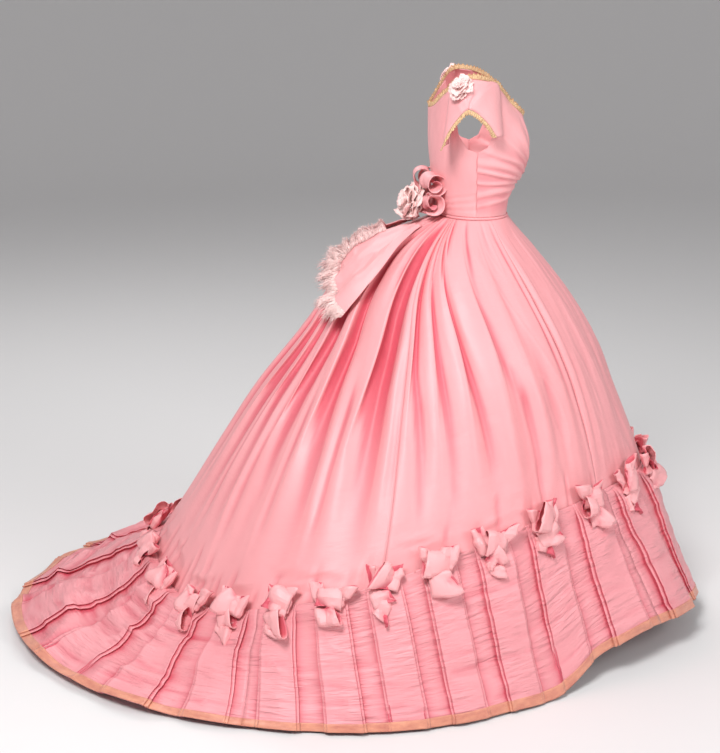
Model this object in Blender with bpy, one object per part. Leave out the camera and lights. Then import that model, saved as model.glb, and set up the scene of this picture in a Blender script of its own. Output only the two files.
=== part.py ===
"""Evening dress of the 1860s in rose silk taffeta, standing in the shape that it has when worn.

The dress faces -Y and the wearer's right hand is towards -X. The origin is the centre of the
waist, where the dress is held up, and the floor lies WAIST_HEIGHT below it. Angles go round the
vertical line through the waist: 0 is the centre front, 90 the wearer's right, 180 the centre back,
and negative angles are the wearer's left. All lengths are metres and all angles are degrees.
"""
import math

import bpy
import numpy as np

# Driving sizes
WAIST_HEIGHT = 1.06
FLOOR = -WAIST_HEIGHT
SEAM_GAP = 0.0003
SKIRT_CLOTH = 0.0020
FLOUNCE_CLOTH = 0.0018
BODICE_CLOTH = 0.0018
SLEEVE_CLOTH = 0.0016
RIBBON_CLOTH = 0.0010
LACE_CLOTH = 0.0010
BAND_HALF_HEIGHT = 0.0032
BAND_PROUD = 0.0022
BAND_EDGE = 0.3
BAND_STEP = 12.0
SHARP_ANGLE = 40.0

# Colours of the silk and its trimmings, as red, green, blue, and their roughness
FINISHES = {
    "silk": ((0.86, 0.42, 0.43), 0.42),
    "silk_light": ((0.90, 0.52, 0.51), 0.42),
    "silk_frayed": ((0.88, 0.60, 0.56), 0.80),
    "hem_ribbon": ((0.80, 0.36, 0.22), 0.50),
    "lace": ((0.78, 0.55, 0.34), 0.85),
}

# Skirt rings: distance from the vertical line at each angle, and the share of the way down
RING_ANGLES = (0, 45, 75, 100, 125, 150, 180)
SKIRT_RINGS = (
    # share, then the distance at each ring angle
    (0.00, (0.068, 0.088, 0.113, 0.119, 0.112, 0.101, 0.096)),
    (0.06, (0.098, 0.116, 0.148, 0.170, 0.190, 0.210, 0.225)),
    (0.17, (0.160, 0.182, 0.222, 0.262, 0.300, 0.328, 0.335)),
    (0.33, (0.241, 0.256, 0.300, 0.355, 0.405, 0.438, 0.434)),
    (0.50, (0.305, 0.312, 0.360, 0.430, 0.505, 0.553, 0.552)),
    (0.67, (0.350, 0.352, 0.402, 0.485, 0.590, 0.650, 0.648)),
    (0.84, (0.394, 0.384, 0.437, 0.535, 0.668, 0.730, 0.738)),
    (1.00, (0.432, 0.410, 0.467, 0.580, 0.735, 0.795, 0.825)),
)
SEAM_HEIGHTS = (-0.640, -0.635, -0.650, -0.700, -0.795, -0.883, -0.858)

# Hem ring: distance, height over the floor, and how far the pleats lean forward on their way down
HEM_RINGS = (
    # angle, distance, clearance, lean
    (0, 0.579, 0.052, 0.0),
    (15, 0.571, 0.067, -4.0),
    (30, 0.551, 0.083, -7.0),
    (45, 0.526, 0.086, -8.0),
    (60, 0.522, 0.055, -8.0),
    (72, 0.548, 0.003, -8.0),
    (85, 0.604, 0.000, -8.0),
    (100, 0.690, 0.000, -8.0),
    (125, 0.850, 0.000, -5.0),
    (150, 1.055, 0.000, -4.0),
    (165, 1.150, 0.000, -2.0),
    (180, 1.200, 0.000, 0.0),
)

# How the cloth turns between the waist and the flounce seam: the side gathers spread forward
SEAM_PLACES = (0, 25, 48, 72, 85, 119, 131, 164, 180)
WAIST_PLACES = (0, 45, 80, 104, 122, 131, 152, 168, 180)
TURN_POWER = 2.5

# Folds that run down the skirt. Places and widths are angles at the flounce seam
SKIRT_FOLDS = (
    # place, half width, depth, deepest share, share of the depth left at the seam
    (50.0, 3.0, 0.006, 0.30, 0.20),
    (62.0, 5.0, 0.005, 0.70, 0.30),
    (73.5, 5.0, 0.011, 0.80, 0.45),
    (86.0, 5.0, 0.013, 0.35, 0.25),
    (97.0, 4.0, 0.010, 0.22, 0.15),
    (106.5, 3.6, 0.013, 0.18, 0.10),
    (119.0, 5.5, 0.042, 0.34, 0.22),
    (132.0, 5.0, 0.034, 0.30, 0.20),
    (144.5, 5.0, 0.026, 0.22, 0.22),
    (155.0, 4.0, 0.014, 0.40, 0.30),
    (165.0, 4.5, 0.020, 0.45, 0.30),
    (175.5, 3.5, 0.012, 0.40, 0.20),
)
SKIRT_SHARES = (0.0, 0.05, 0.12, 0.22, 0.36, 0.54, 0.77, 1.0)
FRONT_SEAM = 47.0
SIDE_SEAM = 112.0
FOLD_END = 0.12
COLUMN_STEP = 8.0
COLUMN_APART = 1.3
COLUMN_CLOSE = 0.8

# Box pleats of the flounce, one under each bow, at their angles on the seam
PLEAT_PLACES = (10.0, 32.0, 55.0, 75.0, 90.0, 102.0, 112.0, 120.5, 129.0, 138.5, 149.0, 160.5, 172.5)
BOX_FOOT = 0.31
BOX_EDGE = 0.27
BOX_LIFT = 0.012
BOX_START = 0.10
KNEE = 0.14
RIBBON_TOP = 0.94
BOW_END = 0.225
FLOUNCE_SHARES = (0.0, KNEE, BOW_END, RIBBON_TOP, 1.0)
SEAM_DROP = 0.0018
HEM_CLEAR = 0.0007
TRAIN_DROP = 0.0014
TRAIN_SAG = 0.024
TRAIN_START = 128.0
TRAIN_FULL = 162.0
FLOUNCE_SPLITS = (43.5, 133.75)

# Bodice rings: distance at each angle
BODICE_ANGLES = (0, 33, 60, 90, 120, 150, 180)
BODICE_RINGS = (
    # height, then the distance at each bodice angle
    (0.000, (0.068, 0.078, 0.102, 0.119, 0.114, 0.101, 0.096)),
    (0.054, (0.071, 0.088, 0.114, 0.127, 0.123, 0.115, 0.111)),
    (0.116, (0.100, 0.123, 0.134, 0.142, 0.138, 0.127, 0.121)),
    (0.178, (0.104, 0.133, 0.143, 0.153, 0.150, 0.134, 0.127)),
)
NECKLINE = (
    # angle, distance, height
    (0, 0.106, 0.234),
    (25, 0.105, 0.249),
    (54, 0.103, 0.282),
    (80, 0.143, 0.318),
    (104, 0.197, 0.334),
    (122, 0.160, 0.308),
    (150, 0.131, 0.272),
    (180, 0.128, 0.259),
)
ARMHOLE = (
    # angle, height of the bodice's edge
    (78.0, 0.316),
    (81.0, 0.215),
    (87.0, 0.176),
    (96.0, 0.163),
    (105.0, 0.172),
    (113.0, 0.205),
    (117.0, 0.312),
)
UNDERARM = 96.0
BODICE_FRONT_COLUMNS = (0, 8, 16, 24, 33, 42, 51, 60, 70, 78, 81, 87, UNDERARM)
BODICE_BACK_COLUMNS = (UNDERARM, 105, 113, 117, 128, 141, 154, 167, 180)
BODICE_BACK_ROWS = 7

# Drapery on the bodice's front: how high its folds lie at the centre and at the side
DRAPE_RISE = (0.0, 0.14, 0.62, 1.0)
DRAPE_CENTRE = (0.0, 0.22, 0.50, 1.0)
DRAPE_FIRST = 0.14
DRAPE_LAST = 0.80
DRAPE_FOLDS = 6
DRAPE_HEIGHT = 0.0036
DRAPE_STEEPEST = 0.30
DRAPE_PLAIN = 0.90

# Sleeve cap: its inner edge on the bodice and neckline, and its free outer edge
SLEEVE_ROWS = (
    # inner angle, inner height share of the neckline, outer forward, outer side, outer height
    (75.0, 0.66, 0.024, 0.184, 0.204),
    (75.5, 0.82, 0.006, 0.196, 0.232),
    (77.5, 1.00, -0.018, 0.207, 0.256),
    (90.0, 1.00, -0.034, 0.213, 0.266),
    (104.0, 1.00, -0.046, 0.216, 0.268),
    (112.0, 1.00, -0.060, 0.213, 0.256),
    (119.5, 1.00, -0.078, 0.203, 0.232),
    (121.0, 0.80, -0.092, 0.193, 0.205),
    (121.5, 0.60, -0.100, 0.180, 0.176),
)
SLEEVE_CENTRE = (-0.09, 0.03, 0.20)
SLEEVE_BLENDS = (0.0, 0.35, 0.70, 1.0)
SLEEVE_PUFF = 0.009
SLEEVE_STAND = 0.0043
LACE_DEPTH = 0.014
LACE_WAVE = 0.0016
LACE_STAND = 0.0002
NECK_LACE_COUNT = 72
NECK_LACE_LIFT = 0.0036
NECK_LACE_LEAN = 0.0004
# Angles between which the neck lace stands higher, on the sleeve caps, and the run up to each
CAP_FIRST, CAP_LAST = 70.0, 126.0
CAP_FIRST_RUN, CAP_LAST_RUN = 8.0, 6.0

# Bows on the pleats: how far a bow stands off, at five places across and four down
BOW_ACROSS = (-0.25, -0.14, 0.0, 0.14, 0.25)
BOW_PUFF = (
    # above the seam, on the seam, at the pleat's knee, and at the bow's free end
    (0.006, 0.013, 0.005, 0.016, 0.008),
    (0.013, 0.027, 0.011, 0.024, 0.015),
    (0.012, 0.020, 0.017, 0.027, 0.013),
    (0.004, 0.009, 0.012, 0.010, 0.005),
)
BOW_SHARES = (-0.055, 0.0, KNEE, BOW_END)
BOW_SKIRT_CLEAR = 0.009
BOW_CLEAR = 0.0009
BOW_SEAM_CLEAR = 0.0024
BOW_UNLIKE = 0.18
BOW_TURN = 1.7

# Rosettes: petals in rings round a low dome
ROSETTE_RINGS = (
    # share of the radius, share of the thickness, depth of the petals' notches
    (0.97, 0.22, 0.16),
    (0.98, 0.60, 0.20),
    (0.62, 0.98, 0.22),
    (0.36, 0.62, 0.30),
    (0.20, 0.95, 0.20),
)
ROSETTE_HOLLOW = 0.6
ROSETTE_SIZES = {
    # radius, thickness, number of petals
    "shoulder": (0.030, 0.024, 9),
    "back": (0.043, 0.042, 12),
    "knot": (0.020, 0.034, 6),
}
SHOULDER_CLEAR = 0.0012
SHOULDER_TILT = 0.35
BACK_ROSETTE = ((0.0, 0.1529, 0.014), (0.0, 1.0, 0.30))
BACK_KNOT = ((0.0, 0.1062, 0.034), (0.0, 1.0, 0.12))

# Loops of the back bow: where one starts, how far it reaches, how it opens, and its ribbon
SIDE_LOOP_ROOT = (0.0149, 0.1355, 0.046)
SIDE_LOOP_REACH = (0.080, 0.004, 0.018)
SIDE_LOOP_SPREAD = (0.0, 0.021, -0.002)
SIDE_LOOP_ACROSS = (0.0, -0.25, 1.0)
SIDE_LOOP_WIDTH = 0.060
UPPER_LOOP_ROOT = (0.0, 0.138, 0.0555)
UPPER_LOOP_REACH = (0.0, 0.006, 0.048)
UPPER_LOOP_SPREAD = (0.0, 0.021, 0.0)
UPPER_LOOP_ACROSS = (1.0, 0.0, 0.0)
UPPER_LOOP_WIDTH = 0.056
LOOP_CLOTH = 0.0018
LOOP_POINTS = 11
LOOP_OPENING = 24.0
LOOP_NARROW = 0.35
LOOP_PINCH = 0.45
LOOP_BULGE = 0.006

# Sash tails behind the waist: edges as angle and share down the skirt
TAIL_ROWS = (
    # inner angle, inner share, outer angle, outer share, stand-off
    (168.0, 0.030, 153.0, 0.030, 0.0042),
    (171.5, 0.058, 146.0, 0.075, 0.013),
    (174.0, 0.095, 142.5, 0.140, 0.020),
    (175.0, 0.130, 143.0, 0.200, 0.024),
    (175.5, 0.165, 147.0, 0.262, 0.022),
)
TAIL_COLUMNS = 7
TAIL_CLOTH = 0.0016
TAIL_CURL = 0.008
FRINGE_BACKING = 0.004
FRINGE_CLOTH = 0.0020
FRINGE_GAP = 0.0007
FRINGE_CENTRE_COUNT = 21
FRINGE_END_COUNT = 41
# Length and lean of the locks along the fringe, from the waist round to the tail's near corner
FRINGE_MARKS = (0.0, 0.33, 0.40, 0.5, 1.0)
FRINGE_LENGTHS = (0.020, 0.040, 0.045, 0.052, 0.060)
FRINGE_LEANS = (2.6, 2.25, 1.0, 0.91, 0.45)
LOCK_OUT, LOCK_OUT_TURN = 0.25, 2.3
LOCK_ALONG, LOCK_ALONG_TURN = 0.18, 3.1


def smooth(x, knots, values, level_ends=False):
    """A cubic curve through the knots, read at x. Values may have a column for each x."""
    x = np.asarray(x, float)
    knots = np.asarray(knots, float)
    values = np.asarray(values, float)
    if values.ndim == 1:
        values = np.repeat(values[:, None], x.size, axis=1)
    steps = np.diff(knots)[:, None]
    slopes = np.diff(values, axis=0) / steps
    tangents = np.zeros_like(values)
    tangents[1:-1] = (slopes[:-1] * steps[1:] + slopes[1:] * steps[:-1]) / (steps[:-1] + steps[1:])
    if not level_ends:
        tangents[0], tangents[-1] = slopes[0], slopes[-1]
    flat = x.ravel()
    cell = np.clip(np.searchsorted(knots, flat, side="right") - 1, 0, len(knots) - 2)
    column = np.arange(flat.size)
    width = steps[cell, 0]
    s = (flat - knots[cell]) / width
    low, high = values[cell, column], values[cell + 1, column]
    rise, fall = tangents[cell, column] * width, tangents[cell + 1, column] * width
    result = (low * (1 + 2 * s) * (1 - s) ** 2 + rise * s * (1 - s) ** 2
              + high * s * s * (3 - 2 * s) + fall * s * s * (s - 1))
    return result.reshape(x.shape)


def ease(x):
    """Rises from 0 to 1 with level ends."""
    x = np.clip(x, 0.0, 1.0)
    return x * x * (3 - 2 * x)


def fold_angle(angle):
    """An angle brought within half a turn, without its sign."""
    return np.abs((np.asarray(angle, float) + 180.0) % 360.0 - 180.0)


def place(angle, distance, height):
    """A point from its angle, distance and height."""
    turn = np.radians(angle)
    return np.stack([-distance * np.sin(turn), -distance * np.cos(turn),
                     height * np.ones_like(turn)], axis=-1)


def ring_distance(rings, angles, angle, level):
    """Distance at an angle and a level, read from a table of rings."""
    angle, level = np.broadcast_arrays(np.asarray(angle, float), np.asarray(level, float))
    folded = fold_angle(angle).ravel()
    by_ring = np.stack([smooth(folded, angles, row[1], level_ends=True) for row in rings])
    levels = [row[0] for row in rings]
    return smooth(level.ravel(), levels, by_ring).reshape(angle.shape)


def cloth_angle(seam_angle, share):
    """Where a length of cloth lies at a share of the way down, from its angle at the seam."""
    seam = fold_angle(seam_angle)
    waist = np.interp(seam, SEAM_PLACES, WAIST_PLACES)
    side = np.where((np.asarray(seam_angle, float) + 180.0) % 360.0 >= 180.0, 1.0, -1.0)
    return side * (seam + (waist - seam) * (1 - share) ** TURN_POWER)


def seam_height(angle):
    return smooth(fold_angle(angle), RING_ANGLES, SEAM_HEIGHTS, level_ends=True)


def skirt_base(seam_angle, share):
    """The skirt without its folds."""
    seam_angle, share = np.broadcast_arrays(np.asarray(seam_angle, float), np.asarray(share, float))
    angle = cloth_angle(seam_angle, share)
    return place(angle, ring_distance(SKIRT_RINGS, RING_ANGLES, angle, share),
                 share * seam_height(angle))


def fold_depth(seam_angle, share):
    """How deep the folds press the skirt in."""
    seam = fold_angle(seam_angle)
    depth = np.zeros(np.broadcast(seam, share).shape)
    for spot, half_width, deep, deepest, left in SKIRT_FOLDS:
        across = ease(1 - np.abs(seam - spot) / half_width)
        down = np.where(share < deepest, ease(share / deepest),
                        1 - (1 - left) * ease((share - deepest) / (1 - deepest)))
        depth = depth + deep * across * down
    return depth * ease((1 - share) / FOLD_END)


def slope_normal(surface, first, second, small):
    """Outward unit normals of a surface given by a function of two values."""
    across = surface(first + small[0], second) - surface(first - small[0], second)
    down = surface(first, second + small[1]) - surface(first, second - small[1])
    normal = np.cross(across, down)
    return normal / np.linalg.norm(normal, axis=-1, keepdims=True)


def skirt_normal(seam_angle, share):
    held = np.clip(share, 0.01, 0.99)
    return slope_normal(skirt_base, np.asarray(seam_angle, float), held, (0.2, 0.01))


def skirt_point(seam_angle, share):
    """The skirt's outer face with its folds."""
    seam_angle, share = np.broadcast_arrays(np.asarray(seam_angle, float), np.asarray(share, float))
    depth = fold_depth(seam_angle, share)[..., None]
    return skirt_base(seam_angle, share) - skirt_normal(seam_angle, share) * depth


def hem_value(angle, column):
    """A column of the hem table, read at an angle."""
    return smooth(fold_angle(angle), [row[0] for row in HEM_RINGS],
                  [row[column] for row in HEM_RINGS], level_ends=True)


def train_share(angle):
    """How far an angle lies in the train: 0 at the side, 1 at the back."""
    return ease((fold_angle(angle) - TRAIN_START) / (TRAIN_FULL - TRAIN_START))


def flounce_base(seam_angle, share):
    """The flounce without its box pleats, from the seam at share 0 to the hem at share 1."""
    seam_angle, share = np.broadcast_arrays(np.asarray(seam_angle, float), np.asarray(share, float))
    top = skirt_base(seam_angle, 1.0)
    side = np.where((seam_angle + 180.0) % 360.0 >= 180.0, 1.0, -1.0)
    hem_angle = seam_angle + side * hem_value(seam_angle, 3)
    ground = FLOOR + FLOUNCE_CLOTH + HEM_CLEAR
    hem = place(hem_angle, hem_value(hem_angle, 1), ground + hem_value(hem_angle, 2))
    blend = share[..., None]
    point = top * (1 - blend) + hem * blend
    sag = np.where(share < BOW_END, share / BOW_END, (1 - share) / (1 - BOW_END))
    point[..., 2] -= TRAIN_SAG * train_share(seam_angle) * sag
    return point


def flounce_normal(seam_angle, share):
    held = np.clip(share, 0.05, 0.95)
    return slope_normal(flounce_base, np.asarray(seam_angle, float), held, (1.0, 0.05))


def box_rise(share):
    """How much of a box pleat's height it has, growing from the seam to its knee."""
    return BOX_START + (1 - BOX_START) * np.clip(np.asarray(share, float) / KNEE, 0.0, 1.0)


def pleat_table():
    """Each pleat all the way round: its angle, and the angles halfway to its neighbours."""
    spots = sorted([-p for p in PLEAT_PLACES] + list(PLEAT_PLACES))
    around = [spots[-1] - 360.0] + spots + [spots[0] + 360.0]
    return [(around[k], 0.5 * (around[k - 1] + around[k]), 0.5 * (around[k] + around[k + 1]))
            for k in range(1, len(around) - 1)]


def pleat_columns(spot, before, after):
    """The angles of a pleat's columns, and whether each lies on the raised box."""
    left, right = spot - before, after - spot
    return ((before, 0.0), (spot - 2 * BOX_FOOT * left, 0.0), (spot - 2 * BOX_EDGE * left, 1.0),
            (spot + 2 * BOX_EDGE * right, 1.0), (spot + 2 * BOX_FOOT * right, 0.0))


def facing(grid, closed=False):
    """Unit normals at a grid's points, each the mean of the faces that meet there."""
    if closed:
        grid = np.concatenate([grid, grid[:, :1]], axis=1)
    first = grid[1:, 1:] - grid[:-1, :-1]
    second = grid[1:, :-1] - grid[:-1, 1:]
    face = np.cross(first, second)
    face /= np.linalg.norm(face, axis=-1, keepdims=True)
    if closed:
        face = np.concatenate([face[:, -1:], face], axis=1)
    else:
        face = np.concatenate([face[:, :1], face, face[:, -1:]], axis=1)
    face = np.concatenate([face[:1], face, face[-1:]], axis=0)
    mean = face[1:, 1:] + face[:-1, 1:] + face[1:, :-1] + face[:-1, :-1]
    return mean / np.linalg.norm(mean, axis=-1, keepdims=True)


def mirrored(grid):
    """A grid's twin on the wearer's other side."""
    return grid[:, ::-1] * np.array([-1.0, 1.0, 1.0])


def make_finish(name):
    colour, roughness = FINISHES[name]
    material = bpy.data.materials.get(name)
    if material is None:
        material = bpy.data.materials.new(name)
        material.use_nodes = True
        shader = material.node_tree.nodes["Principled BSDF"]
        shader.inputs["Base Color"].default_value = (*colour, 1.0)
        shader.inputs["Roughness"].default_value = roughness
        shader.inputs["Metallic"].default_value = 0.0
    return material


def make_object(name, points, faces, finish):
    mesh = bpy.data.meshes.new(name)
    mesh.from_pydata([tuple(float(v) for v in p) for p in points], [], faces)
    mesh.materials.append(make_finish(finish))
    mesh.shade_smooth()
    mesh.set_sharp_from_angle(angle=math.radians(SHARP_ANGLE))
    piece = bpy.data.objects.new(name, mesh)
    bpy.context.scene.collection.objects.link(piece)
    return piece


def wall_faces(rows, cols, closed=False):
    """Triangles of a wall whose outer grid of points comes first and its inner grid second."""
    def at(side, row, col):
        return side * rows * cols + row * cols + col % cols

    faces = []

    def quad(a, b, c, d):
        faces.extend([(a, b, c), (a, c, d)])

    for row in range(rows - 1):
        for col in range(cols if closed else cols - 1):
            corners = ((row, col), (row, col + 1), (row + 1, col + 1), (row + 1, col))
            quad(*(at(0, *corner) for corner in corners))
            a, b, c, d = (at(1, *corner) for corner in corners)
            faces.extend([(a, c, b), (a, d, c)])
    for col in range(cols if closed else cols - 1):
        quad(at(0, 0, col + 1), at(0, 0, col), at(1, 0, col), at(1, 0, col + 1))
        last = rows - 1
        quad(at(0, last, col), at(0, last, col + 1), at(1, last, col + 1), at(1, last, col))
    if not closed:
        for row in range(rows - 1):
            quad(at(0, row, 0), at(0, row + 1, 0), at(1, row + 1, 0), at(1, row, 0))
            end = cols - 1
            quad(at(0, row + 1, end), at(0, row, end), at(1, row, end), at(1, row + 1, end))
    return faces


def wall(name, outer, inner, finish, closed=False):
    """One closed solid of cloth between an outer and an inner grid of points."""
    rows, cols = outer.shape[:2]
    points = np.concatenate([outer.reshape(-1, 3), inner.reshape(-1, 3)])
    return make_object(name, points, wall_faces(rows, cols, closed), finish)


def slit(grid, normals, first, last):
    """Columns first to last of a closed grid, each end drawn back by half the gap of a seam."""
    cols = np.arange(first, last + 1) % grid.shape[1]
    part = grid[:, cols].copy()
    facing_part = normals[:, cols]
    for end, neighbour in ((0, 1), (-1, -2)):
        inward = part[:, neighbour] - part[:, end]
        inward -= facing_part[:, end] * np.sum(inward * facing_part[:, end], axis=-1, keepdims=True)
        inward /= np.linalg.norm(inward, axis=-1, keepdims=True)
        part[:, end] += inward * SEAM_GAP * 0.5
    return part, facing_part


def skirt_columns():
    """Angles of the skirt's columns: on the folds, on the seams, and between where it is plain."""
    seams = (FRONT_SEAM, SIDE_SEAM, 180.0)
    marks = {0.0, *seams}
    for spot, half_width, _, _, _ in SKIRT_FOLDS:
        marks.update(spot + half_width * step for step in (-1.0, -0.5, 0.0, 0.5, 1.0))
    ordered = [0.0]
    for mark in sorted(m for m in marks if 0.0 < m <= 180.0):
        if mark - ordered[-1] > COLUMN_APART or mark in seams:
            if mark - ordered[-1] < COLUMN_CLOSE and ordered[-1] not in seams:
                ordered.pop()
            ordered.append(mark)
    filled = ordered[:1]
    for mark in ordered[1:]:
        pieces = math.ceil((mark - filled[-1]) / COLUMN_STEP)
        start = filled[-1]
        filled.extend(start + (mark - start) * (k + 1) / pieces for k in range(pieces))
    return [-a for a in filled[:0:-1]][1:] + filled


def build_skirt():
    """Front gore, side gores and back widths, all pleated into the waist."""
    angles = np.array(skirt_columns())
    shares = np.array(SKIRT_SHARES)[:, None]
    grid = skirt_point(angles[None, :], shares)
    grid[0, :, 2] = -BAND_HALF_HEIGHT - SEAM_GAP
    normals = facing(grid, closed=True)
    index = {round(float(a), 3): k for k, a in enumerate(angles)}
    front_l, front_r = index[-FRONT_SEAM], index[FRONT_SEAM]
    side_l, side_r, back = index[-SIDE_SEAM], index[SIDE_SEAM], index[180.0]
    count = len(angles)
    panels = (
        ("skirt_front", front_l, front_r),
        ("skirt_side_right", front_r, side_r),
        ("skirt_back_right", side_r, back),
        ("skirt_back_left", back, side_l + count),
        ("skirt_side_left", side_l, front_l),
    )
    for name, first, last in panels:
        outer, out = slit(grid, normals, first, last)
        wall(name, outer, outer - out * SKIRT_CLOTH, "silk")


def build_waist_band():
    """The corded band between the bodice and the skirt."""
    angles = np.arange(0.0, 360.0, BAND_STEP)
    distance = ring_distance(SKIRT_RINGS, RING_ANGLES, angles, 0.0)
    levels = ((BAND_HALF_HEIGHT, BAND_EDGE), (0.0, 1.0), (-BAND_HALF_HEIGHT, BAND_EDGE))
    outer = np.stack([place(angles, distance + BAND_PROUD * proud, height) for height, proud in levels])
    inner = outer.copy()
    inner[..., :2] = place(angles, distance - SKIRT_CLOTH, 0.0)[None, :, :2]
    wall("waist_band", outer, inner, "silk", closed=True)


def flounce_grid():
    """The flounce's outer points all round, with the angle and the lift of each column."""
    columns = [c for spot in pleat_table() for c in pleat_columns(*spot)]
    angles = np.array([c[0] for c in columns])
    raised = np.array([c[1] for c in columns])
    shares = np.array(FLOUNCE_SHARES)[:, None]
    base = flounce_base(angles[None, :], shares)
    lift = BOX_LIFT * raised[None, :] * box_rise(shares)
    grid = base + flounce_normal(angles[None, :], shares + 0 * angles[None, :]) * lift[..., None]
    grid[0, :, 2] -= SEAM_DROP + TRAIN_DROP * train_share(angles)
    return grid, angles


def above_floor(points):
    """Points kept from going under the floor."""
    kept = points.copy()
    kept[..., 2] = np.maximum(kept[..., 2], FLOOR)
    return kept


def build_flounce():
    """The box-pleated flounce in four lengths, and the ribbon that binds its hem."""
    grid, angles = flounce_grid()
    normals = facing(grid, closed=True)
    count = len(angles)

    def nearest(angle):
        return int(np.argmin(np.abs(angles - angle)))

    front_r, back_r = nearest(FLOUNCE_SPLITS[0]), nearest(FLOUNCE_SPLITS[1])
    front_l, back_l = nearest(-FLOUNCE_SPLITS[0]), nearest(-FLOUNCE_SPLITS[1])
    lengths = (("front", front_l, front_r), ("right", front_r, back_r),
               ("back", back_r, back_l + count), ("left", back_l, front_l))
    for side, first, last in lengths:
        outer, out = slit(grid, normals, first, last)
        wall(f"flounce_{side}", outer, above_floor(outer - out * FLOUNCE_CLOTH), "silk")
        ribbon = outer[-2:] + out[-2:] * SEAM_GAP
        proud = outer[-2:] + out[-2:] * (SEAM_GAP + RIBBON_CLOTH)
        wall(f"hem_ribbon_{side}", proud, ribbon, "hem_ribbon")


def build_flounce_bows():
    """A folded bow of the dress silk at the head of each box pleat."""
    for number, (spot, before, after) in enumerate(pleat_table(), start=1):
        half = np.where(np.array(BOW_ACROSS) < 0, spot - before, after - spot)
        angles = spot + 2 * np.array(BOW_ACROSS) * half
        edges = spot + 2 * BOX_EDGE * np.array([before - spot, after - spot])
        across = (0.5 * (np.array(BOW_ACROSS) / BOX_EDGE + 1))[:, None]
        flip = 1 if number % 2 else -1
        rows_out, rows_in = [], []
        for share, puffs in zip(BOW_SHARES, BOW_PUFF):
            puff = np.array(puffs)[::flip] * (1 + BOW_UNLIKE * math.sin(BOW_TURN * number))
            if share < 0:
                point = skirt_point(angles, 1 + share)
                normal = skirt_normal(angles, 1 + share + 0 * angles)
                clear = BOW_SKIRT_CLEAR
            else:
                sides = flounce_normal(edges, share + 0 * edges)
                sides = flounce_base(edges, share) + sides * BOX_LIFT * box_rise(share)
                point = sides[0] * (1 - across) + sides[1] * across
                normal = flounce_normal(np.array([spot]), np.array([share]))
                clear = BOW_CLEAR if share > 0 else BOW_SEAM_CLEAR
            rows_in.append(point + normal * clear)
            rows_out.append(point + normal * (clear + puff[:, None]))
        wall(f"flounce_bow_{number:02d}", np.stack(rows_out), np.stack(rows_in), "silk_light")


def neckline_value(angle, column):
    return smooth(fold_angle(angle), [row[0] for row in NECKLINE],
                  [row[column] for row in NECKLINE], level_ends=True)


def bodice_point(angle, height):
    """The bodice's outer face without its drapery."""
    angle, height = np.broadcast_arrays(np.asarray(angle, float), np.asarray(height, float))
    shape = angle.shape
    angle, height = angle.ravel(), height.ravel()
    folded = fold_angle(angle)
    by_ring = np.stack([smooth(folded, BODICE_ANGLES, row[1], level_ends=True) for row in BODICE_RINGS]
                       + [neckline_value(angle, 1)])
    top = neckline_value(angle, 2)
    distance = np.empty_like(angle)
    for k in range(angle.size):
        levels = [row[0] for row in BODICE_RINGS] + [top[k]]
        distance[k] = smooth(height[k:k + 1], levels, by_ring[:, k])[0]
    return place(angle, distance, height).reshape(*shape, 3)


def bodice_normal(angle, height):
    """Outward unit normals of the plain bodice."""
    return -slope_normal(bodice_point, angle, height, (0.5, 0.004))


def bodice_top(angle):
    """Height of the bodice's upper edge: the neckline, and the armhole where there is one."""
    folded = fold_angle(angle)
    places, heights = zip(*ARMHOLE)
    inside = (folded > places[0]) & (folded < places[-1])
    return np.where(inside, np.interp(folded, places, heights), neckline_value(angle, 2))


def drape_rise(angle, share):
    """Share of the bodice's height for a drapery line, which gathers low at the centre front."""
    folded = fold_angle(angle)
    at_side = np.interp(share, DRAPE_RISE, DRAPE_RISE)
    at_centre = np.interp(share, DRAPE_RISE, DRAPE_CENTRE)
    blend = ease(folded / UNDERARM)
    return at_centre + (at_side - at_centre) * blend


def build_bodice():
    """A draped front and two plain back pieces, joined under the arms and at the centre back."""
    bottom = BAND_HALF_HEIGHT + SEAM_GAP
    right = np.array(BODICE_FRONT_COLUMNS)
    angles = np.concatenate([-right[:0:-1], right])
    steps = 2 * DRAPE_FOLDS
    marks = np.linspace(DRAPE_LAST, DRAPE_FIRST, steps + 1)
    shares = np.concatenate([[1.0, DRAPE_PLAIN], marks, [0.0]])
    ridge = np.concatenate([[0.0, 0.0], np.arange(steps + 1) % 2, [0.0]])
    top = bodice_top(angles)
    rise = np.stack([drape_rise(angles, share) for share in shares])
    height = bottom + (top[None, :] - bottom) * rise
    grid = bodice_point(angles[None, :] + 0 * height, height)
    spacing = -np.gradient(height, axis=0)
    lift = np.minimum(DRAPE_HEIGHT, DRAPE_STEEPEST * spacing) * ridge[:, None]
    grid += facing(grid) * lift[..., None]
    normals = facing(grid)
    normals[:, 0] = bodice_normal(angles[0] + 0 * height[:, 0], height[:, 0])
    normals[:, -1] = bodice_normal(angles[-1] + 0 * height[:, -1], height[:, -1])
    wall("bodice_front", grid, grid - normals * BODICE_CLOTH, "silk_light")

    back = np.array(BODICE_BACK_COLUMNS)
    shares = np.linspace(1.0, 0.0, BODICE_BACK_ROWS)[:, None]
    top = bodice_top(back)[None, :]
    height = bottom + (top - bottom) * shares
    grid = bodice_point(back[None, :] + 0 * shares, height)
    normals = facing(grid)
    normals[:, 0] = bodice_normal(back[0] + 0 * height[:, 0], height[:, 0])
    normals[:, -1, 0] = 0.0
    inner = grid - normals * BODICE_CLOTH
    shift = np.zeros_like(grid)
    shift[:, 0] = place(np.array(UNDERARM + 90.0), SEAM_GAP, 0.0)
    shift[:, -1] = (-SEAM_GAP * 0.5, 0.0, 0.0)
    grid, inner = grid + shift, inner + shift
    wall("bodice_back_right", grid, inner, "silk_light")
    wall("bodice_back_left", mirrored(grid), mirrored(inner), "silk_light")


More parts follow.
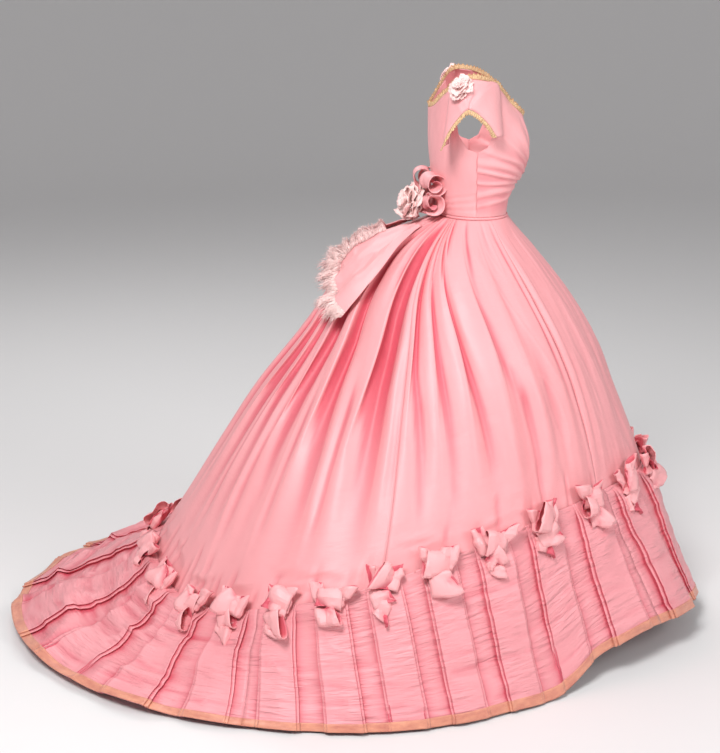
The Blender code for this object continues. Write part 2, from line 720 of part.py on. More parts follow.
def sleeve_grid():
    """The right sleeve cap's outer points: rows across the cap, columns from front to back."""
    inner_edge, outer_edge = [], []
    for angle, share, forward, side, height in SLEEVE_ROWS:
        level = float(neckline_value(np.array([angle]), 2)[0]) * share
        inner_edge.append(bodice_point(np.array([angle]), np.array([level]))[0])
        outer_edge.append((-side, -forward, height))
    inner_edge, outer_edge = np.array(inner_edge), np.array(outer_edge)
    rows = []
    for blend in SLEEVE_BLENDS:
        row = inner_edge * (1 - blend) + outer_edge * blend
        away = row - np.array(SLEEVE_CENTRE)
        away /= np.linalg.norm(away, axis=-1, keepdims=True)
        puff = SLEEVE_PUFF * 4 * blend * (1 - blend)
        rows.append(row + away * (puff + SLEEVE_STAND + SLEEVE_CLOTH))
    return np.stack(rows)


def build_sleeves():
    """Two short caps, each open in an upturned V over the outer arm, and their lace."""
    grid = sleeve_grid()
    normals = facing(grid)
    inner = grid - normals * SLEEVE_CLOTH
    wall("sleeve_right", grid, inner, "silk_light")
    wall("sleeve_left", mirrored(grid), mirrored(inner), "silk_light")

    hang = grid[-1] - grid[-2]
    hang /= np.linalg.norm(hang, axis=-1, keepdims=True)
    wave = np.where(np.arange(grid.shape[1]) % 2, 1.0, -1.0)[:, None] * LACE_WAVE
    start = grid[-1] + hang * SEAM_GAP * 2 - normals[-1] * 0.3 * LACE_CLOTH
    end = start + hang * LACE_DEPTH + normals[-1] * wave
    lace = np.stack([start, end])
    back = lace - normals[-1][None] * LACE_CLOTH
    wall("sleeve_lace_right", lace, back, "lace")
    wall("sleeve_lace_left", mirrored(lace), mirrored(back), "lace")


def build_neck_lace():
    """The gathered lace edging that stands up from the neckline all round."""
    angles = np.linspace(0.0, 360.0, NECK_LACE_COUNT, endpoint=False)
    folded = fold_angle(angles)
    distance = neckline_value(angles, 1) + LACE_STAND
    wave = NECK_LACE_LEAN + np.where(np.arange(NECK_LACE_COUNT) % 2, 1.0, -1.0) * LACE_WAVE
    cap = ease((folded - CAP_FIRST) / CAP_FIRST_RUN) * ease((CAP_LAST - folded) / CAP_LAST_RUN)
    foot = neckline_value(angles, 2) + SEAM_GAP * 2 + cap * NECK_LACE_LIFT
    outer, inner = (np.stack([place(angles, distance + wave - depth, foot + LACE_DEPTH),
                              place(angles, distance - depth, foot)]) for depth in (0.0, LACE_CLOTH))
    wall("neck_lace", outer, inner, "lace", closed=True)


def rosette(name, centre, normal, size, finish):
    """A gathered rosette: a low dome of petals on a flat back, in rings round its middle."""
    radius, thickness, petals = ROSETTE_SIZES[size]
    centre, normal = np.array(centre, float), np.array(normal, float)
    normal /= np.linalg.norm(normal)
    across = np.cross(normal, (0.0, 0.0, 1.0))
    across /= np.linalg.norm(across)
    upward = np.cross(normal, across)
    turn = np.radians(np.arange(2 * petals) * 180.0 / petals)
    tips = np.arange(2 * petals) % 2
    around = np.cos(turn)[:, None] * across + np.sin(turn)[:, None] * upward
    points = []
    for reach, level, depth in ROSETTE_RINGS:
        spread = radius * reach * (1 - depth * tips)[:, None]
        points.append(centre + around * spread + normal * thickness * level)
    points = np.concatenate(points)
    count = 2 * petals
    top = len(points)
    points = np.concatenate([points, [centre + normal * thickness * ROSETTE_HOLLOW], [centre]])
    faces = []
    for ring in range(len(ROSETTE_RINGS) - 1):
        for k in range(count):
            a, b = ring * count + k, ring * count + (k + 1) % count
            c, d = b + count, a + count
            faces.extend([(a, b, c), (a, c, d)])
    last = (len(ROSETTE_RINGS) - 1) * count
    for k in range(count):
        faces.append((last + k, last + (k + 1) % count, top))
        faces.append(((k + 1) % count, k, top + 1))
    return make_object(name, points, faces, finish)


def build_shoulder_rosettes():
    """A pinked rosette on each shoulder, just below the neckline."""
    grid = sleeve_grid()
    spot = 0.5 * (grid[1, 4] + grid[1, 5])
    normal = facing(grid)[1, 4] + facing(grid)[1, 5] + np.array([0.0, 0.0, SHOULDER_TILT])
    normal /= np.linalg.norm(normal)
    centre = spot + normal * SHOULDER_CLEAR
    flip = np.array([-1.0, 1.0, 1.0])
    rosette("shoulder_rosette_right", centre, normal, "shoulder", "silk_frayed")
    rosette("shoulder_rosette_left", centre * flip, normal * flip, "shoulder", "silk_frayed")


def ribbon_loop(name, path, across, width):
    """An open loop of ribbon along a path of points, as wide as given along one direction."""
    path = np.array(path, float)
    direction = np.array(across, float)
    direction /= np.linalg.norm(direction)
    rows = []
    ahead = np.gradient(path, axis=0)
    side = np.cross(direction, ahead)
    side /= np.linalg.norm(side, axis=-1, keepdims=True)
    pinch = 1.0 - LOOP_PINCH * np.abs(np.linspace(-1, 1, len(path))) ** 3
    for edge in (-1.0, 0.0, 1.0):
        half = direction * edge * 0.5 * width * pinch[:, None]
        rows.append(path + half - side * LOOP_BULGE * edge ** 2)
    grid = np.stack(rows)
    return wall(name, grid, grid - facing(grid) * LOOP_CLOTH, "silk_light")


def loop_path(root, reach, spread):
    """A teardrop of points from a root, out by reach and round, with its two ends apart."""
    root, reach, spread = (np.array(v, float) for v in (root, reach, spread))
    points = []
    for turn in np.radians(np.linspace(LOOP_OPENING, 360.0 - LOOP_OPENING, LOOP_POINTS)):
        out = 0.5 * (1 - math.cos(turn))
        wide = math.sin(turn) * (LOOP_NARROW + (1 - LOOP_NARROW) * out)
        points.append(root + reach * out + spread * wide)
    return np.array(points)


def build_back_bow():
    """The bow behind the waist: a knot, two side loops, one upright loop and a frayed rosette."""
    flip = np.array([-1.0, 1.0, 1.0])
    path = loop_path(SIDE_LOOP_ROOT * flip, SIDE_LOOP_REACH * flip, SIDE_LOOP_SPREAD)
    ribbon_loop("back_bow_loop_right", path, SIDE_LOOP_ACROSS, SIDE_LOOP_WIDTH)
    ribbon_loop("back_bow_loop_left", path[::-1] * flip, SIDE_LOOP_ACROSS, SIDE_LOOP_WIDTH)
    path = loop_path(UPPER_LOOP_ROOT, UPPER_LOOP_REACH, UPPER_LOOP_SPREAD)
    ribbon_loop("back_bow_upper_loop", path, UPPER_LOOP_ACROSS, UPPER_LOOP_WIDTH)
    rosette("back_bow_rosette", *BACK_ROSETTE, "back", "silk_frayed")
    rosette("back_bow_knot", *BACK_KNOT, "knot", "silk_light")


def skirt_form(angle, share):
    """The skirt's plain form at a true angle, without the turn of its cloth."""
    return place(angle, ring_distance(SKIRT_RINGS, RING_ANGLES, angle, share),
                 share * seam_height(angle))


def tail_grid():
    """The right sash tail's outer points, lying over the back of the skirt."""
    rows = []
    for inner_angle, inner_share, outer_angle, outer_share, stand in TAIL_ROWS:
        blend = np.linspace(0.0, 1.0, TAIL_COLUMNS)
        angle = inner_angle + (outer_angle - inner_angle) * blend
        share = inner_share + (outer_share - inner_share) * blend
        point = skirt_form(angle, share)
        normal = slope_normal(skirt_form, angle, share, (0.5, 0.01))
        curl = TAIL_CURL * np.sin(np.pi * blend * 3) * blend
        rows.append(point + normal * (stand + curl)[:, None])
    grid = np.stack(rows)
    return grid[:, ::-1]


def fringe(name, edge, normals, away, strands, lengths, finish, mirror):
    """Tapered locks on a narrow backing that follows an edge of cloth, just clear of it."""
    start = edge + away * FRINGE_GAP
    outer = np.stack([start, start + away * FRINGE_BACKING])
    inner = outer - normals[None] * FRINGE_CLOTH
    flip = np.array([-1.0, 1.0, 1.0]) if mirror else np.ones(3)
    cols = len(edge)
    points = np.concatenate([outer.reshape(-1, 3), inner.reshape(-1, 3)]) * flip
    faces = wall_faces(2, cols)
    tips = []
    kept = []
    roots = {}
    for k in range(0, cols - 1, 2):
        roots[(cols + k, cols + k + 1, 3 * cols + k + 1, 3 * cols + k)] = k
    root_faces = set()
    for a, b, c, d in roots:
        root_faces.update({frozenset((a, b, c)), frozenset((a, c, d))})
    for face in faces:
        if frozenset(face) not in root_faces:
            kept.append(face)
    for (a, b, c, d), k in roots.items():
        middle = 0.25 * sum((points[v] for v in (a, b, c, d)), np.zeros(3))
        along = (edge[k + 1] - edge[k]) / np.linalg.norm(edge[k + 1] - edge[k])
        lean = LOCK_OUT * math.sin(LOCK_OUT_TURN * k) * normals[k]
        lean = lean + LOCK_ALONG * math.cos(LOCK_ALONG_TURN * k) * along
        direction = (strands[k] + lean) * flip
        direction /= np.linalg.norm(direction)
        tips.append(middle + direction * lengths[k])
        tip = len(points) + len(tips) - 1
        kept.extend([(a, b, tip), (b, c, tip), (c, d, tip), (d, a, tip)])
    points = np.concatenate([points, np.array(tips)])
    if mirror:
        kept = [face[::-1] for face in kept]
    return make_object(name, points, kept, finish)


def edge_run(edge, inside, normals, count):
    """Evenly spaced points along an edge of cloth, with their normals and the way off the cloth."""
    away = edge - inside
    away -= normals * np.sum(away * normals, axis=-1, keepdims=True)
    away /= np.linalg.norm(away, axis=-1, keepdims=True)
    steps = np.linalg.norm(np.diff(edge, axis=0), axis=1)
    far = np.concatenate([[0.0], np.cumsum(steps)])
    marks = np.linspace(0.0, far[-1], count)

    def spread(values):
        return np.stack([np.interp(marks, far, values[:, k]) for k in range(3)], axis=1)

    return spread(edge), spread(normals), spread(away)


def build_tails():
    """Two wide sash tails with frayed ends that fall from the bow over the back of the skirt."""
    grid = tail_grid()
    normals = facing(grid)
    inner = grid - normals * TAIL_CLOTH
    wall("sash_tail_right", grid, inner, "silk_light")
    wall("sash_tail_left", mirrored(grid), mirrored(inner), "silk_light")

    down_edge = edge_run(grid[1:, -1], grid[1:, -2], normals[1:, -1], FRINGE_CENTRE_COUNT)
    end_edge = edge_run(grid[-1, ::-1], grid[-2, ::-1], normals[-1, ::-1], FRINGE_END_COUNT)
    spots = np.concatenate([down_edge[0][:-1], end_edge[0]])
    out = np.concatenate([down_edge[1][:-1], end_edge[1]])
    corner = down_edge[2][-1] + end_edge[2][0]
    away = np.concatenate([down_edge[2][:-1], [corner], end_edge[2][1:]])
    marks = np.linspace(0.0, 1.0, len(spots))
    lengths = np.interp(marks, FRINGE_MARKS, FRINGE_LENGTHS)
    lean = np.interp(marks, FRINGE_MARKS, FRINGE_LEANS)
    strand = away / np.linalg.norm(away, axis=1, keepdims=True) + out * lean[:, None]
    strand /= np.linalg.norm(strand, axis=1, keepdims=True)
    back_to_front = slice(None, None, -1)
    spots, out, away, strand, lengths = (v[back_to_front] for v in (spots, out, away, strand, lengths))
    for side, mirror in (("right", False), ("left", True)):
        fringe(f"tail_fringe_{side}", spots, out, away, strand, lengths, "silk_frayed", mirror)


def main():
    for piece in list(bpy.data.objects):
        bpy.data.objects.remove(piece, do_unlink=True)
    build_bodice()
    build_sleeves()
    build_neck_lace()
    build_shoulder_rosettes()
    build_waist_band()
    build_skirt()
    build_flounce()
    build_flounce_bows()
    build_back_bow()
    build_tails()


main()
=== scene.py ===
"""Looks of an evening dress of the 1860s in rose silk taffeta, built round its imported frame.

The dress faces -Y, the wearer's right hand is towards -X, and the origin is the centre of the
waist. Angles go round the vertical line through the waist in degrees: 0 is the centre front, 90
the wearer's right, 180 the centre back, and negative angles are the wearer's left. Lengths are
metres. Every sheet of cloth is a thin shell on its solid's form, with finer folds and creases.
"""
import logging
import math
from dataclasses import dataclass, field
from enum import Enum
from typing import Any, Callable, Iterable, NamedTuple, Optional, Sequence

import bpy
import numpy as np
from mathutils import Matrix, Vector


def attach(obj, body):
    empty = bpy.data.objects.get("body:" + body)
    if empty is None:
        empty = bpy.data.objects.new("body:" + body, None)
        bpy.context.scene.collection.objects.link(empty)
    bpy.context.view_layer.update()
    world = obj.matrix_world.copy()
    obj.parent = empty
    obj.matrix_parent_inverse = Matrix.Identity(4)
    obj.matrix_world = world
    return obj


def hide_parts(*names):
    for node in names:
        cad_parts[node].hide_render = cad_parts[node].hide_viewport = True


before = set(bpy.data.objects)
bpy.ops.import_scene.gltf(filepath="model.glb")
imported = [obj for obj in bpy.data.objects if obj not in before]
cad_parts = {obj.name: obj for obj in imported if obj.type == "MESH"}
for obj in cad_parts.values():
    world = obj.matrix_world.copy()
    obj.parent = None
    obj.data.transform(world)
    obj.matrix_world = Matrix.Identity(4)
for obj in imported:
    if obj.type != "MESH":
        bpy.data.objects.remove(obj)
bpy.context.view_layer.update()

LOG = logging.getLogger("evening_dress")
Array = np.ndarray

WAIST_HEIGHT = 1.06
FLOOR = -WAIST_HEIGHT
MIRROR = np.array([-1.0, 1.0, 1.0])
SIDES = (("right", False), ("left", True))  # a side's name, and whether its pieces are mirrored
BAND_HALF_HEIGHT = 0.0032
LEAST_AREA_SHARE = 0.31  # of the cut's rectangle, for a sheet that isn't one

# Skirt rings: share of the way down, then the distance at each ring angle
RING_ANGLES = (0, 45, 75, 100, 125, 150, 180)
SKIRT_RINGS = (
    (0.00, (0.068, 0.088, 0.113, 0.119, 0.112, 0.101, 0.096)),
    (0.06, (0.098, 0.116, 0.148, 0.170, 0.190, 0.210, 0.225)),
    (0.17, (0.160, 0.182, 0.222, 0.262, 0.300, 0.328, 0.335)),
    (0.33, (0.241, 0.256, 0.300, 0.355, 0.405, 0.438, 0.434)),
    (0.50, (0.305, 0.312, 0.360, 0.430, 0.505, 0.553, 0.552)),
    (0.67, (0.350, 0.352, 0.402, 0.485, 0.590, 0.650, 0.648)),
    (0.84, (0.394, 0.384, 0.437, 0.535, 0.668, 0.730, 0.738)),
    (1.00, (0.432, 0.410, 0.467, 0.580, 0.735, 0.795, 0.825)),
)
SEAM_HEIGHTS = (-0.640, -0.635, -0.650, -0.700, -0.795, -0.883, -0.858)
SEAM_PLACES = (0, 25, 48, 72, 85, 119, 131, 164, 180)
WAIST_PLACES = (0, 45, 80, 104, 122, 131, 152, 168, 180)
TURN_POWER = 2.5

# Main folds of the skirt, in degrees along its lower seam and in shares of the way down
SKIRT_FOLDS = (
    # place, half width, depth, deepest share, share of the depth left at the seam
    (50.0, 3.0, 0.006, 0.30, 0.20),
    (62.0, 5.0, 0.005, 0.70, 0.30),
    (73.5, 5.0, 0.011, 0.80, 0.45),
    (86.0, 5.0, 0.013, 0.35, 0.25),
    (97.0, 4.0, 0.010, 0.22, 0.15),
    (106.5, 3.6, 0.013, 0.18, 0.10),
    (119.0, 5.5, 0.042, 0.34, 0.22),
    (132.0, 5.0, 0.034, 0.30, 0.20),
    (144.5, 5.0, 0.026, 0.22, 0.22),
    (155.0, 4.0, 0.014, 0.40, 0.30),
    (165.0, 4.5, 0.020, 0.45, 0.30),
    (175.5, 3.5, 0.012, 0.40, 0.20),
)
FOLD_END = 0.12
GATHER_TOP = -0.10
PUCKER_END = 1.06

# Hem ring of the flounce
HEM_RINGS = (
    # angle, distance, clearance, lean
    (0, 0.579, 0.052, 0.0),
    (15, 0.571, 0.067, -4.0),
    (30, 0.551, 0.083, -7.0),
    (45, 0.526, 0.086, -8.0),
    (60, 0.522, 0.055, -8.0),
    (72, 0.548, 0.003, -8.0),
    (85, 0.604, 0.000, -8.0),
    (100, 0.690, 0.000, -8.0),
    (125, 0.850, 0.000, -5.0),
    (150, 1.055, 0.000, -4.0),
    (165, 1.150, 0.000, -2.0),
    (180, 1.200, 0.000, 0.0),
)
PLEAT_PLACES = (10.0, 32.0, 55.0, 75.0, 90.0, 102.0, 112.0, 120.5, 129.0, 138.5, 149.0, 160.5, 172.5)
KNEE = 0.14
BOW_END = 0.225
TRAIN_SAG = 0.024
TRAIN_START = 128.0
TRAIN_FULL = 162.0
FLOUNCE_SPLITS = (43.5, 133.75)

# Bodice rings: height, then the distance at each bodice angle
BODICE_ANGLES = (0, 33, 60, 90, 120, 150, 180)
BODICE_RINGS = (
    (0.000, (0.068, 0.078, 0.102, 0.119, 0.114, 0.101, 0.096)),
    (0.054, (0.071, 0.088, 0.114, 0.127, 0.123, 0.115, 0.111)),
    (0.116, (0.100, 0.123, 0.134, 0.142, 0.138, 0.127, 0.121)),
    (0.178, (0.104, 0.133, 0.143, 0.153, 0.150, 0.134, 0.127)),
)
NECKLINE = (
    # angle, distance, height
    (0, 0.106, 0.234),
    (25, 0.105, 0.249),
    (54, 0.103, 0.282),
    (80, 0.143, 0.318),
    (104, 0.197, 0.334),
    (122, 0.160, 0.308),
    (150, 0.131, 0.272),
    (180, 0.128, 0.259),
)
ARMHOLE = (
    # angle, height of the bodice's edge
    (78.0, 0.316),
    (81.0, 0.215),
    (87.0, 0.176),
    (96.0, 0.163),
    (105.0, 0.172),
    (113.0, 0.205),
    (117.0, 0.312),
)
UNDERARM = 96.0
SLEEVE_ROWS = (
    # inner angle, inner height share of the neckline, outer forward, outer side, outer height
    (75.0, 0.66, 0.024, 0.184, 0.204),
    (75.5, 0.82, 0.006, 0.196, 0.232),
    (77.5, 1.00, -0.018, 0.207, 0.256),
    (90.0, 1.00, -0.034, 0.213, 0.266),
    (104.0, 1.00, -0.046, 0.216, 0.268),
    (112.0, 1.00, -0.060, 0.213, 0.256),
    (119.5, 1.00, -0.078, 0.203, 0.232),
    (121.0, 0.80, -0.092, 0.193, 0.205),
    (121.5, 0.60, -0.100, 0.180, 0.176),
)
SLEEVE_CENTRE = (-0.09, 0.03, 0.20)
TAIL_ROWS = (
    # inner angle, inner share, outer angle, outer share, stand-off
    (168.0, 0.030, 153.0, 0.030, 0.0042),
    (171.5, 0.058, 146.0, 0.075, 0.013),
    (174.0, 0.095, 142.5, 0.140, 0.020),
    (175.0, 0.130, 143.0, 0.200, 0.024),
    (175.5, 0.165, 147.0, 0.262, 0.022),
)


class Hold(Enum):
    """How a sheet of cloth is held."""

    DRAPED = "draped"
    HUNG = "hung"
    GATHERED = "gathered"
    FOLDED = "folded"
    STRETCHED = "stretched"


class Crease(NamedTuple):
    """One soft trough, or ridge where its depth is negative, that runs down the skirt."""

    spot: float
    drift: float
    half: float
    depth: float
    top: float
    bottom: float
    skew: float = 0.0


class Tab(NamedTuple):
    """One fold of a bow: a flattened, creased tube from its root to its open mouth."""

    turn: float
    length: float
    root: float
    mouth: float
    thick: float
    stand: float
    skew: float
    shift: float
    raise_by: float
    lean: float


def curves(x: Array, knots: Array, values: Array, level_ends: bool = False) -> Array:
    """A cubic curve for each column, through the column's own knots.

    Args:
        x: Where each column's curve is read.
        knots: Rising places of the curves' points, a row for each point.
        values: The values at these places, in the same rows.
        level_ends: Whether the curves are level at their two ends.

    Returns:
        One value for each column.
    """
    steps = np.diff(knots, axis=0)
    slopes = np.diff(values, axis=0) / steps
    tangents = np.zeros_like(values)
    tangents[1:-1] = (slopes[:-1] * steps[1:] + slopes[1:] * steps[:-1]) / (steps[:-1] + steps[1:])
    if not level_ends:
        tangents[0], tangents[-1] = slopes[0], slopes[-1]
    cell = np.clip((x[None, :] >= knots).sum(axis=0) - 1, 0, len(knots) - 2)
    column = np.arange(x.size)
    width = steps[cell, column]
    s = (x - knots[cell, column]) / width
    low, high = values[cell, column], values[cell + 1, column]
    rise, fall = tangents[cell, column] * width, tangents[cell + 1, column] * width
    return (low * (1 + 2 * s) * (1 - s) ** 2 + rise * s * (1 - s) ** 2
            + high * s * s * (3 - 2 * s) + fall * s * s * (s - 1))


def smooth(x: Any, knots: Sequence[float], values: Any, level_ends: bool = False) -> Array:
    """A cubic curve through knots.

    Args:
        x: Where the curve is read.
        knots: Rising places of the curve's points.
        values: A value for each knot, or a row of values, one for each x.
        level_ends: Whether the curve is level at its two ends.

    Returns:
        The curve's values at x.
    """
    x = np.asarray(x, float)
    values = np.asarray(values, float)
    if values.ndim == 1:
        values = np.repeat(values[:, None], x.size, axis=1)
    spots = np.repeat(np.asarray(knots, float)[:, None], x.size, axis=1)
    return curves(x.ravel(), spots, values, level_ends).reshape(x.shape)


def ease(x: Any) -> Array:
    """Rises from 0 to 1 with level ends."""
    x = np.clip(x, 0.0, 1.0)
    return x * x * (3 - 2 * x)


def hump(x: Any) -> Array:
    """Rises to 1 where x is 0 and is 0 beyond -1 and 1."""
    return np.clip(1 - np.asarray(x, float) ** 2, 0.0, 1.0) ** 2


def fold_angle(angle: Any) -> Array:
    """An angle brought within half a turn, without its sign."""
    return np.abs((np.asarray(angle, float) + 180.0) % 360.0 - 180.0)


def side_sign(angle: Any) -> Array:
    """1 on the wearer's right and -1 on the left."""
    return np.where((np.asarray(angle, float) + 180.0) % 360.0 >= 180.0, 1.0, -1.0)


def place(angle: Any, distance: Any, height: Any) -> Array:
    """A point from its angle, distance and height."""
    turn = np.radians(angle)
    return np.stack([-distance * np.sin(turn), -distance * np.cos(turn),
                     height * np.ones_like(turn)], axis=-1)


def unit(vectors: Any) -> Array:
    """Vectors made one long."""
    vectors = np.asarray(vectors, float)
    return vectors / np.maximum(np.linalg.norm(vectors, axis=-1, keepdims=True), 1e-12)


def table_value(table: Sequence[Sequence[float]], angle: Any, column: int) -> Array:
    """A column of a table whose first column is an angle, read at an angle."""
    return smooth(fold_angle(angle), [row[0] for row in table], [row[column] for row in table],
                  level_ends=True)


def ring_distance(rings: Sequence[Any], angles: Sequence[float], angle: Any, level: Any) -> Array:
    """Distance at an angle and a level, read from a table of rings."""
    angle, level = np.broadcast_arrays(np.asarray(angle, float), np.asarray(level, float))
    folded = fold_angle(angle).ravel()
    by_ring = np.stack([smooth(folded, angles, row[1], level_ends=True) for row in rings])
    levels = [row[0] for row in rings]
    return smooth(level.ravel(), levels, by_ring).reshape(angle.shape)


def slope_normal(surface: Callable[[Any, Any], Array], first: Any, second: Any,
                 small: tuple[float, float]) -> Array:
    """Unit normals of a surface given by a function of two values."""
    across = surface(first + small[0], second) - surface(first - small[0], second)
    down = surface(first, second + small[1]) - surface(first, second - small[1])
    return unit(np.cross(across, down))


def facing(grid: Array, closed: bool = False) -> Array:
    """Unit normals at a grid's points, each the mean of the faces that meet there."""
    if closed:
        grid = np.concatenate([grid, grid[:, :1]], axis=1)
    face = unit(np.cross(grid[1:, 1:] - grid[:-1, :-1], grid[1:, :-1] - grid[:-1, 1:]))
    if closed:
        face = np.concatenate([face[:, -1:], face], axis=1)
    else:
        face = np.concatenate([face[:, :1], face, face[:, -1:]], axis=1)
    face = np.concatenate([face[:1], face, face[-1:]], axis=0)
    return unit(face[1:, 1:] + face[:-1, 1:] + face[1:, :-1] + face[:-1, :-1])


def raised(grid: Array, lift: Any, closed: bool = False) -> Array:
    """A grid moved out along its normals."""
    lift = np.broadcast_to(lift, grid.shape[:2])
    return grid + facing(grid, closed) * lift[..., None]


def painted_fold_shade(grid: Array, reach: int, full: float, closed: bool = False) -> Array:
    """How far each point lies below its neighbours in its row, for painted shade in the hollows.

    Args:
        grid: The points.
        reach: How many columns away the neighbours are.
        full: The depth in metres that counts as 1.
        closed: Whether the last column joins the first.

    Returns:
        Values from 0 to 1, the share of painted shade.
    """
    cols = np.arange(grid.shape[1])
    near = np.zeros_like(grid)
    for step in (-reach, -reach // 2, reach // 2, reach):
        there = (cols + step) % len(cols) if closed else np.clip(cols + step, 0, len(cols) - 1)
        near = near + 0.25 * grid[:, there]
    sunk = np.sum((near - grid) * facing(grid, closed), axis=-1)
    return ease(sunk / full)


def grid_area(grid: Array, closed: bool = False) -> float:
    """Area of the cloth on a grid."""
    if closed:
        grid = np.concatenate([grid, grid[:, :1]], axis=1)
    halves = np.cross(grid[1:, 1:] - grid[:-1, :-1], grid[1:, :-1] - grid[:-1, 1:])
    return float(np.linalg.norm(halves, axis=-1).sum() * 0.5)


class Noise:
    """Smooth seeded noise on a plane, from -1 to 1."""

    def __init__(self, seed: int, size: int = 64) -> None:
        """Draws the values of the noise's own grid."""
        self.size = size
        self.values = np.random.default_rng(seed).uniform(-1.0, 1.0, (size, size))

    def at(self, x: Any, y: Any) -> Array:
        """The noise at places x and y, one wave to each unit."""
        x, y = np.broadcast_arrays(np.asarray(x, float), np.asarray(y, float))
        i, j = np.floor(x).astype(int), np.floor(y).astype(int)
        s, t = ease(x - i), ease(y - j)
        i0, i1, j0, j1 = i % self.size, (i + 1) % self.size, j % self.size, (j + 1) % self.size
        low = self.values[i0, j0] * (1 - s) + self.values[i1, j0] * s
        high = self.values[i0, j1] * (1 - s) + self.values[i1, j1] * s
        return low * (1 - t) + high * t

    def creased(self, x: Any, y: Any, sharp: float) -> Array:
        """Thin crossing ridges, 1 on the ridge and near 0 between."""
        return (1 - np.abs(self.at(x, y))) ** sharp


def clear_selection() -> None:
    """Leaves nothing selected."""
    for piece in bpy.context.selected_objects:
        piece.select_set(False)


def new_piece(name: str, points: Array, faces: Array, cloth: Array, tone: Array,
              finish: bpy.types.Material, crisp: Optional[float] = None) -> bpy.types.Object:
    """Makes an object and links it to the scene.

    Args:
        name: Its name.
        points: Its points.
        faces: The points of each face.
        cloth: Metres across and down the cloth at each face's corners, for its map "cloth".
        tone: Painted shade at each face's corners, from the depth in the folds, for its map "tone".
        finish: Its material.
        crisp: The angle in degrees from which an edge is sharp, if any is.

    Returns:
        The object.
    """
    mesh = bpy.data.meshes.new(name)
    mesh.from_pydata(points.tolist(), [], faces.tolist())
    for layer, values in (("cloth", cloth), ("tone", np.stack([tone, 0 * tone], axis=1))):
        mesh.uv_layers.new(name=layer).data.foreach_set("uv", values.reshape(-1).astype(np.float32))
    mesh.shade_smooth()
    if crisp is not None:
        mesh.set_sharp_from_angle(angle=math.radians(crisp))
    mesh.materials.append(finish)
    piece = bpy.data.objects.new(name, mesh)
    bpy.context.scene.collection.objects.link(piece)
    return piece


@dataclass
class ClothMesh:
    """One piece of cloth made of one or more grids of points."""

    name: str
    thickness: float
    finish: bpy.types.Material
    points: list[Array] = field(default_factory=list)
    faces: list[Array] = field(default_factory=list)
    corners: list[Array] = field(default_factory=list)
    painted_shades: list[Array] = field(default_factory=list)
    crisp: Optional[float] = None
    count: int = 0
    area: float = 0.0

    def add(self, grid: Array, closed: bool = False, tone: Optional[Array] = None) -> "ClothMesh":
        """Adds a grid of outer points, rows down and columns across.

        Args:
            grid: The points.
            closed: Whether the last column joins the first.
            tone: The painted shade at each point, from 0 to 1, after how deep in its folds the silk is.

        Returns:
            The same piece, so that grids can be added in a row.
        """
        rows, cols = grid.shape[:2]
        across = np.linalg.norm(np.diff(grid, axis=1), axis=-1).mean(axis=0)
        down = np.linalg.norm(np.diff(grid, axis=0), axis=-1).mean(axis=1)
        u = np.concatenate([[0.0], np.cumsum(across)])
        v = np.concatenate([[0.0], np.cumsum(down)])
        index = np.arange(rows * cols).reshape(rows, cols) + self.count
        if closed:
            u = np.append(u, u[-1] + across.mean())
            index = np.concatenate([index, index[:, :1]], axis=1)
        quads = np.stack([index[:-1, :-1], index[:-1, 1:], index[1:, 1:], index[1:, :-1]], axis=-1)
        uv = np.stack(np.meshgrid(u, v), axis=-1)
        loops = np.stack([uv[:-1, :-1], uv[:-1, 1:], uv[1:, 1:], uv[1:, :-1]], axis=2)
        self.painted_shades.append(np.zeros(rows * cols) if tone is None
                          else np.broadcast_to(tone, (rows, cols)).ravel())
        self.points.append(grid.reshape(-1, 3))
        self.faces.append(quads.reshape(-1, 4))
        self.corners.append(loops.reshape(-1, 2))
        self.count += rows * cols
        self.area += grid_area(grid, closed)
        LOG.debug("%s: %.3f by %.3f m", self.name, u[-1], v[-1])
        return self

    def build(self, mirror: bool = False) -> bpy.types.Object:
        """Makes the thin closed shell.

        Args:
            mirror: Whether the piece is the twin, on the wearer's other side.

        Returns:
            The object, whose map "cloth" gives metres across and down the cloth and whose map
            "tone" gives the painted shade, from the depth in the folds.
        """
        points, faces = np.concatenate(self.points), np.concatenate(self.faces)
        corners = np.concatenate(self.corners).reshape(-1, 4, 2)
        if mirror:
            points, faces, corners = points * MIRROR, faces[:, ::-1], corners[:, ::-1]
        tone = np.concatenate(self.painted_shades)[faces.ravel()]
        piece = new_piece(self.name, points, faces, corners, tone, self.finish, self.crisp)
        clear_selection()
        piece.select_set(True)
        bpy.context.view_layer.objects.active = piece
        shell = piece.modifiers.new("cloth", "SOLIDIFY")
        shell.thickness = self.thickness
        shell.offset = -1.0
        bpy.ops.object.modifier_apply(modifier=shell.name)
        return piece


@dataclass
class Wardrobe:
    """Puts finished pieces in the place of the frame's solids, and counts them."""

    count: int = 0
    triangles: int = 0

    def hang(self, piece: bpy.types.Object, node: str, slot: str,
             cut: Optional[tuple[float, float, Hold]] = None, area: float = 0.0,
             rests_on: Iterable[str] = (), others: Sequence[bpy.types.Object] = ()) -> None:
        """Lets a piece take the place of its solid.

        Args:
            piece: The finished piece.
            node: The solid that it stands for.
            slot: The record's material slot; not used.
            cut: The sheet's flat width and length and how it is held, for a piece of cloth.
            area: The flat area where the cut isn't a rectangle.
            rests_on: What the sheet lies on or hangs from; not used.
            others: The separate pieces that are sewn to the sheet; not used.
        """
        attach(piece, "root")
        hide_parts(node)
        if cut is not None:
            width, length, hold = cut
            whole = width * length
            kept = min(max(area, LEAST_AREA_SHARE * whole), whole) if area else None
        self.count += 1
        faces = sum(len(face.vertices) - 2 for face in piece.data.polygons)
        self.triangles += faces
        LOG.info("%s: %d triangles, %.4f square metres, cut %s", piece.name, faces, area, cut)


